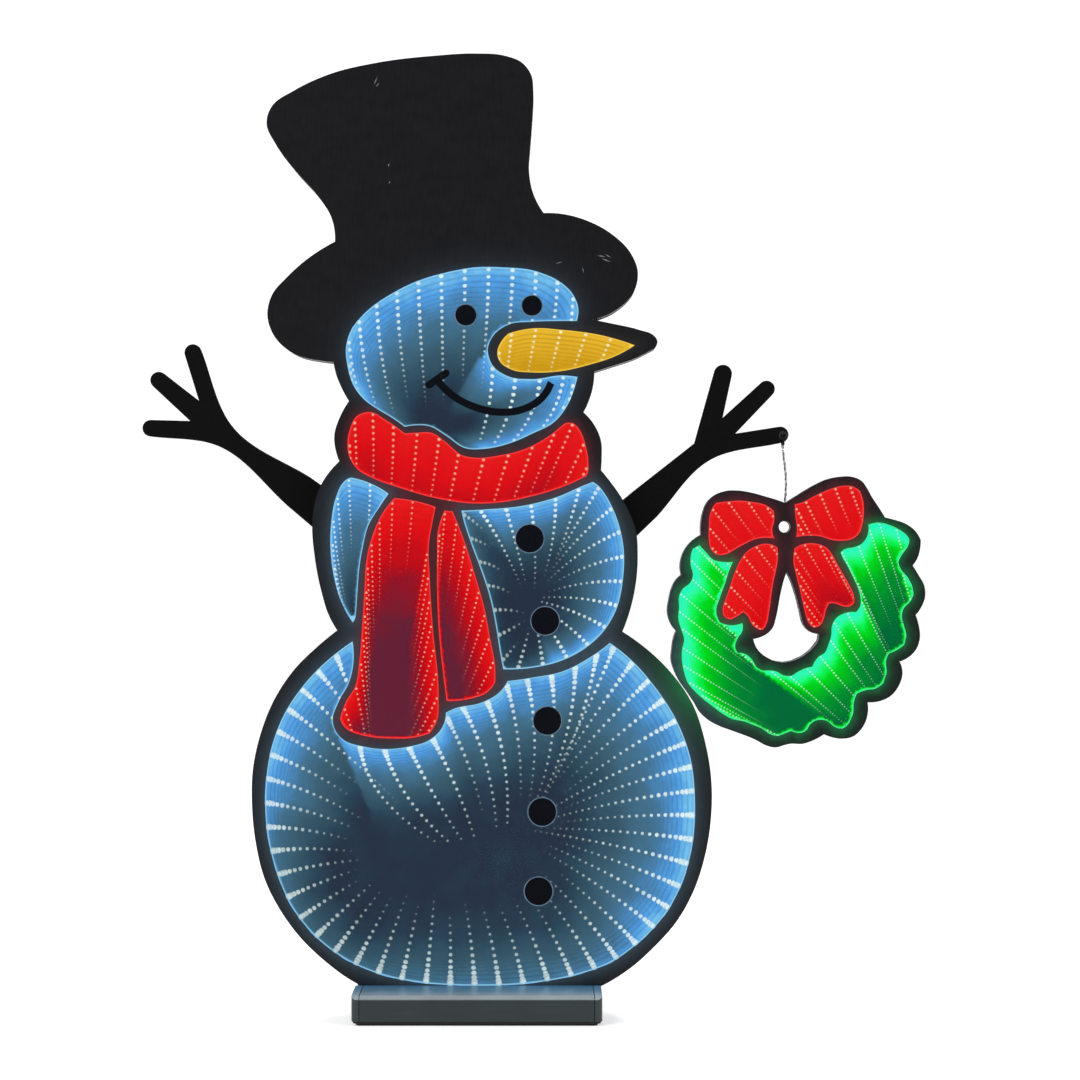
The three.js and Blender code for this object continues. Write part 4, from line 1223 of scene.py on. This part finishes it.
def make_plain_nodes():
    """Gives each plain CAD node its material and, where asked, rounds its sharp edges."""
    for name, (material, ease) in PLAIN_NODES.items():
        node = NODES[name]
        node.data.materials.clear()
        node.data.materials.append(material)
        if ease:
            weld = node.modifiers.new("weld", "WELD")
            weld.merge_threshold = 0.00001
            bevel = node.modifiers.new("round", "BEVEL")
            bevel.width = ease * MM
            bevel.segments = 3
            bevel.limit_method = "ANGLE"
            bevel.angle_limit = math.radians(32)


# ---- Boards ----
COVER_PLATE = 2.0  # the rear cover's own thickness behind its rim


def make_rear_cover():
    """The panel's rear cover: a plate with eased edges on its rim."""
    front, back = depths("rear_cover")
    rim = [smooth(loop) for loop in flat_loops("rear_cover", front)][:2]
    plate = [smooth(loop) for loop in flat_loops("rear_cover", back)]
    plate_front = back - COVER_PLATE
    shape = joined([board(plate, plate_front, back, 0.8), board(rim, front, plate_front, 0.01)])
    piece("rear_cover_fine", shape, COVER, "panel", replaces=["rear_cover"])


def make_boards():
    board_like("cell_frame", FRAME, "panel", 0.3)
    board_like("wreath_cell_frame", FRAME, "wreath", 0.3)
    board_like("wreath_rear_cover", COVER, "wreath", 0.4)
    for side in ("left", "right"):
        board_like(f"twig_arm_{side}", ARM, "panel", 0.9, 1.2)
    make_rear_cover()


# ---- Stage ----
FLOOR_FRONT = -4.0  # metres, as all of the stage is
BEND_START = 3.0
BEND_RADIUS = 1.0
WALL_TOP = 4.0
HALF_WIDTH = 5.0
LIT_POINT = Vector((0.04, 0, 0.3))
LIGHTS = {  # the place, diameter and power of each
    "key": ((-1.3, -1.5, 1.9), 1.4, 26),
    "fill": ((1.6, -1.2, 1.3), 1.2, 12),
    "rear": ((0.3, 1.4, 1.8), 1.4, 22),
}


def make_sweep():
    """A pale floor that curves up into a pale wall."""
    bend = [
        (BEND_START + BEND_RADIUS * math.sin(t), BEND_RADIUS - BEND_RADIUS * math.cos(t))
        for t in np.linspace(0.1, math.pi / 2, 12)
    ]
    profile = [(FLOOR_FRONT, 0.0), (BEND_START, 0.0), *bend, (BEND_START + BEND_RADIUS, WALL_TOP)]
    vertices = [(x, y, z) for y, z in profile for x in (-HALF_WIDTH, HALF_WIDTH)]
    faces = [[2 * i, 2 * i + 1, 2 * i + 3, 2 * i + 2] for i in range(len(profile) - 1)]
    mesh = bpy.data.meshes.new("sweep")
    mesh.from_pydata(vertices, [], faces)
    mesh.polygons.foreach_set("use_smooth", [True] * len(mesh.polygons))
    look = Look("pale_sweep", (0.86, 0.86, 0.86, 1), 0.9, Specular_IOR_Level=0.1)
    look.emit((1, 1, 1, 1), 0.45)
    mesh.materials.append(look.material)
    sweep = bpy.data.objects.new("sweep", mesh)
    bpy.context.scene.collection.objects.link(sweep)


def make_lights():
    """Soft round lights that face the object, and a pale world."""
    for name, (place, size, power) in LIGHTS.items():
        data = bpy.data.lights.new(name, "AREA")
        data.shape = "DISK"
        data.size = size
        data.energy = power
        lamp = bpy.data.objects.new(name, data)
        lamp.location = place
        lamp.rotation_euler = (LIT_POINT - Vector(place)).to_track_quat("-Z", "Y").to_euler()
        bpy.context.scene.collection.objects.link(lamp)
    world = bpy.data.worlds.new("studio")
    world.use_nodes = True
    background = world.node_tree.nodes["Background"]
    background.inputs["Color"].default_value = (1, 1, 1, 1)
    background.inputs["Strength"].default_value = 0.42
    bpy.context.scene.world = world


def make_camera():
    """A long lens straight in front of the object."""
    data = bpy.data.cameras.new("camera")
    data.lens = 98
    camera = bpy.data.objects.new("camera", data)
    camera.location = (0.042, -2.012, 0.323)
    camera.rotation_euler = (math.pi / 2, 0, 0)
    bpy.context.scene.collection.objects.link(camera)
    bpy.context.scene.camera = camera
    bpy.context.scene.view_settings.view_transform = "Standard"


make_camera()
make_sweep()
make_lights()
make_plain_nodes()
make_boards()
shapes = [windows_of(unit) for unit in (PANEL, WREATH)]
for unit, (outline, openings, windows), (*_, neighbours) in zip((PANEL, WREATH), shapes, shapes[::-1]):
    make_film(unit, outline, openings, windows, neighbours)
    make_sheet(unit, outline, openings)
    make_cells(unit, windows)
make_marks()
make_scuffs()
make_screws()
make_arm_lead()
make_lead_loop()
make_hanging_lead()
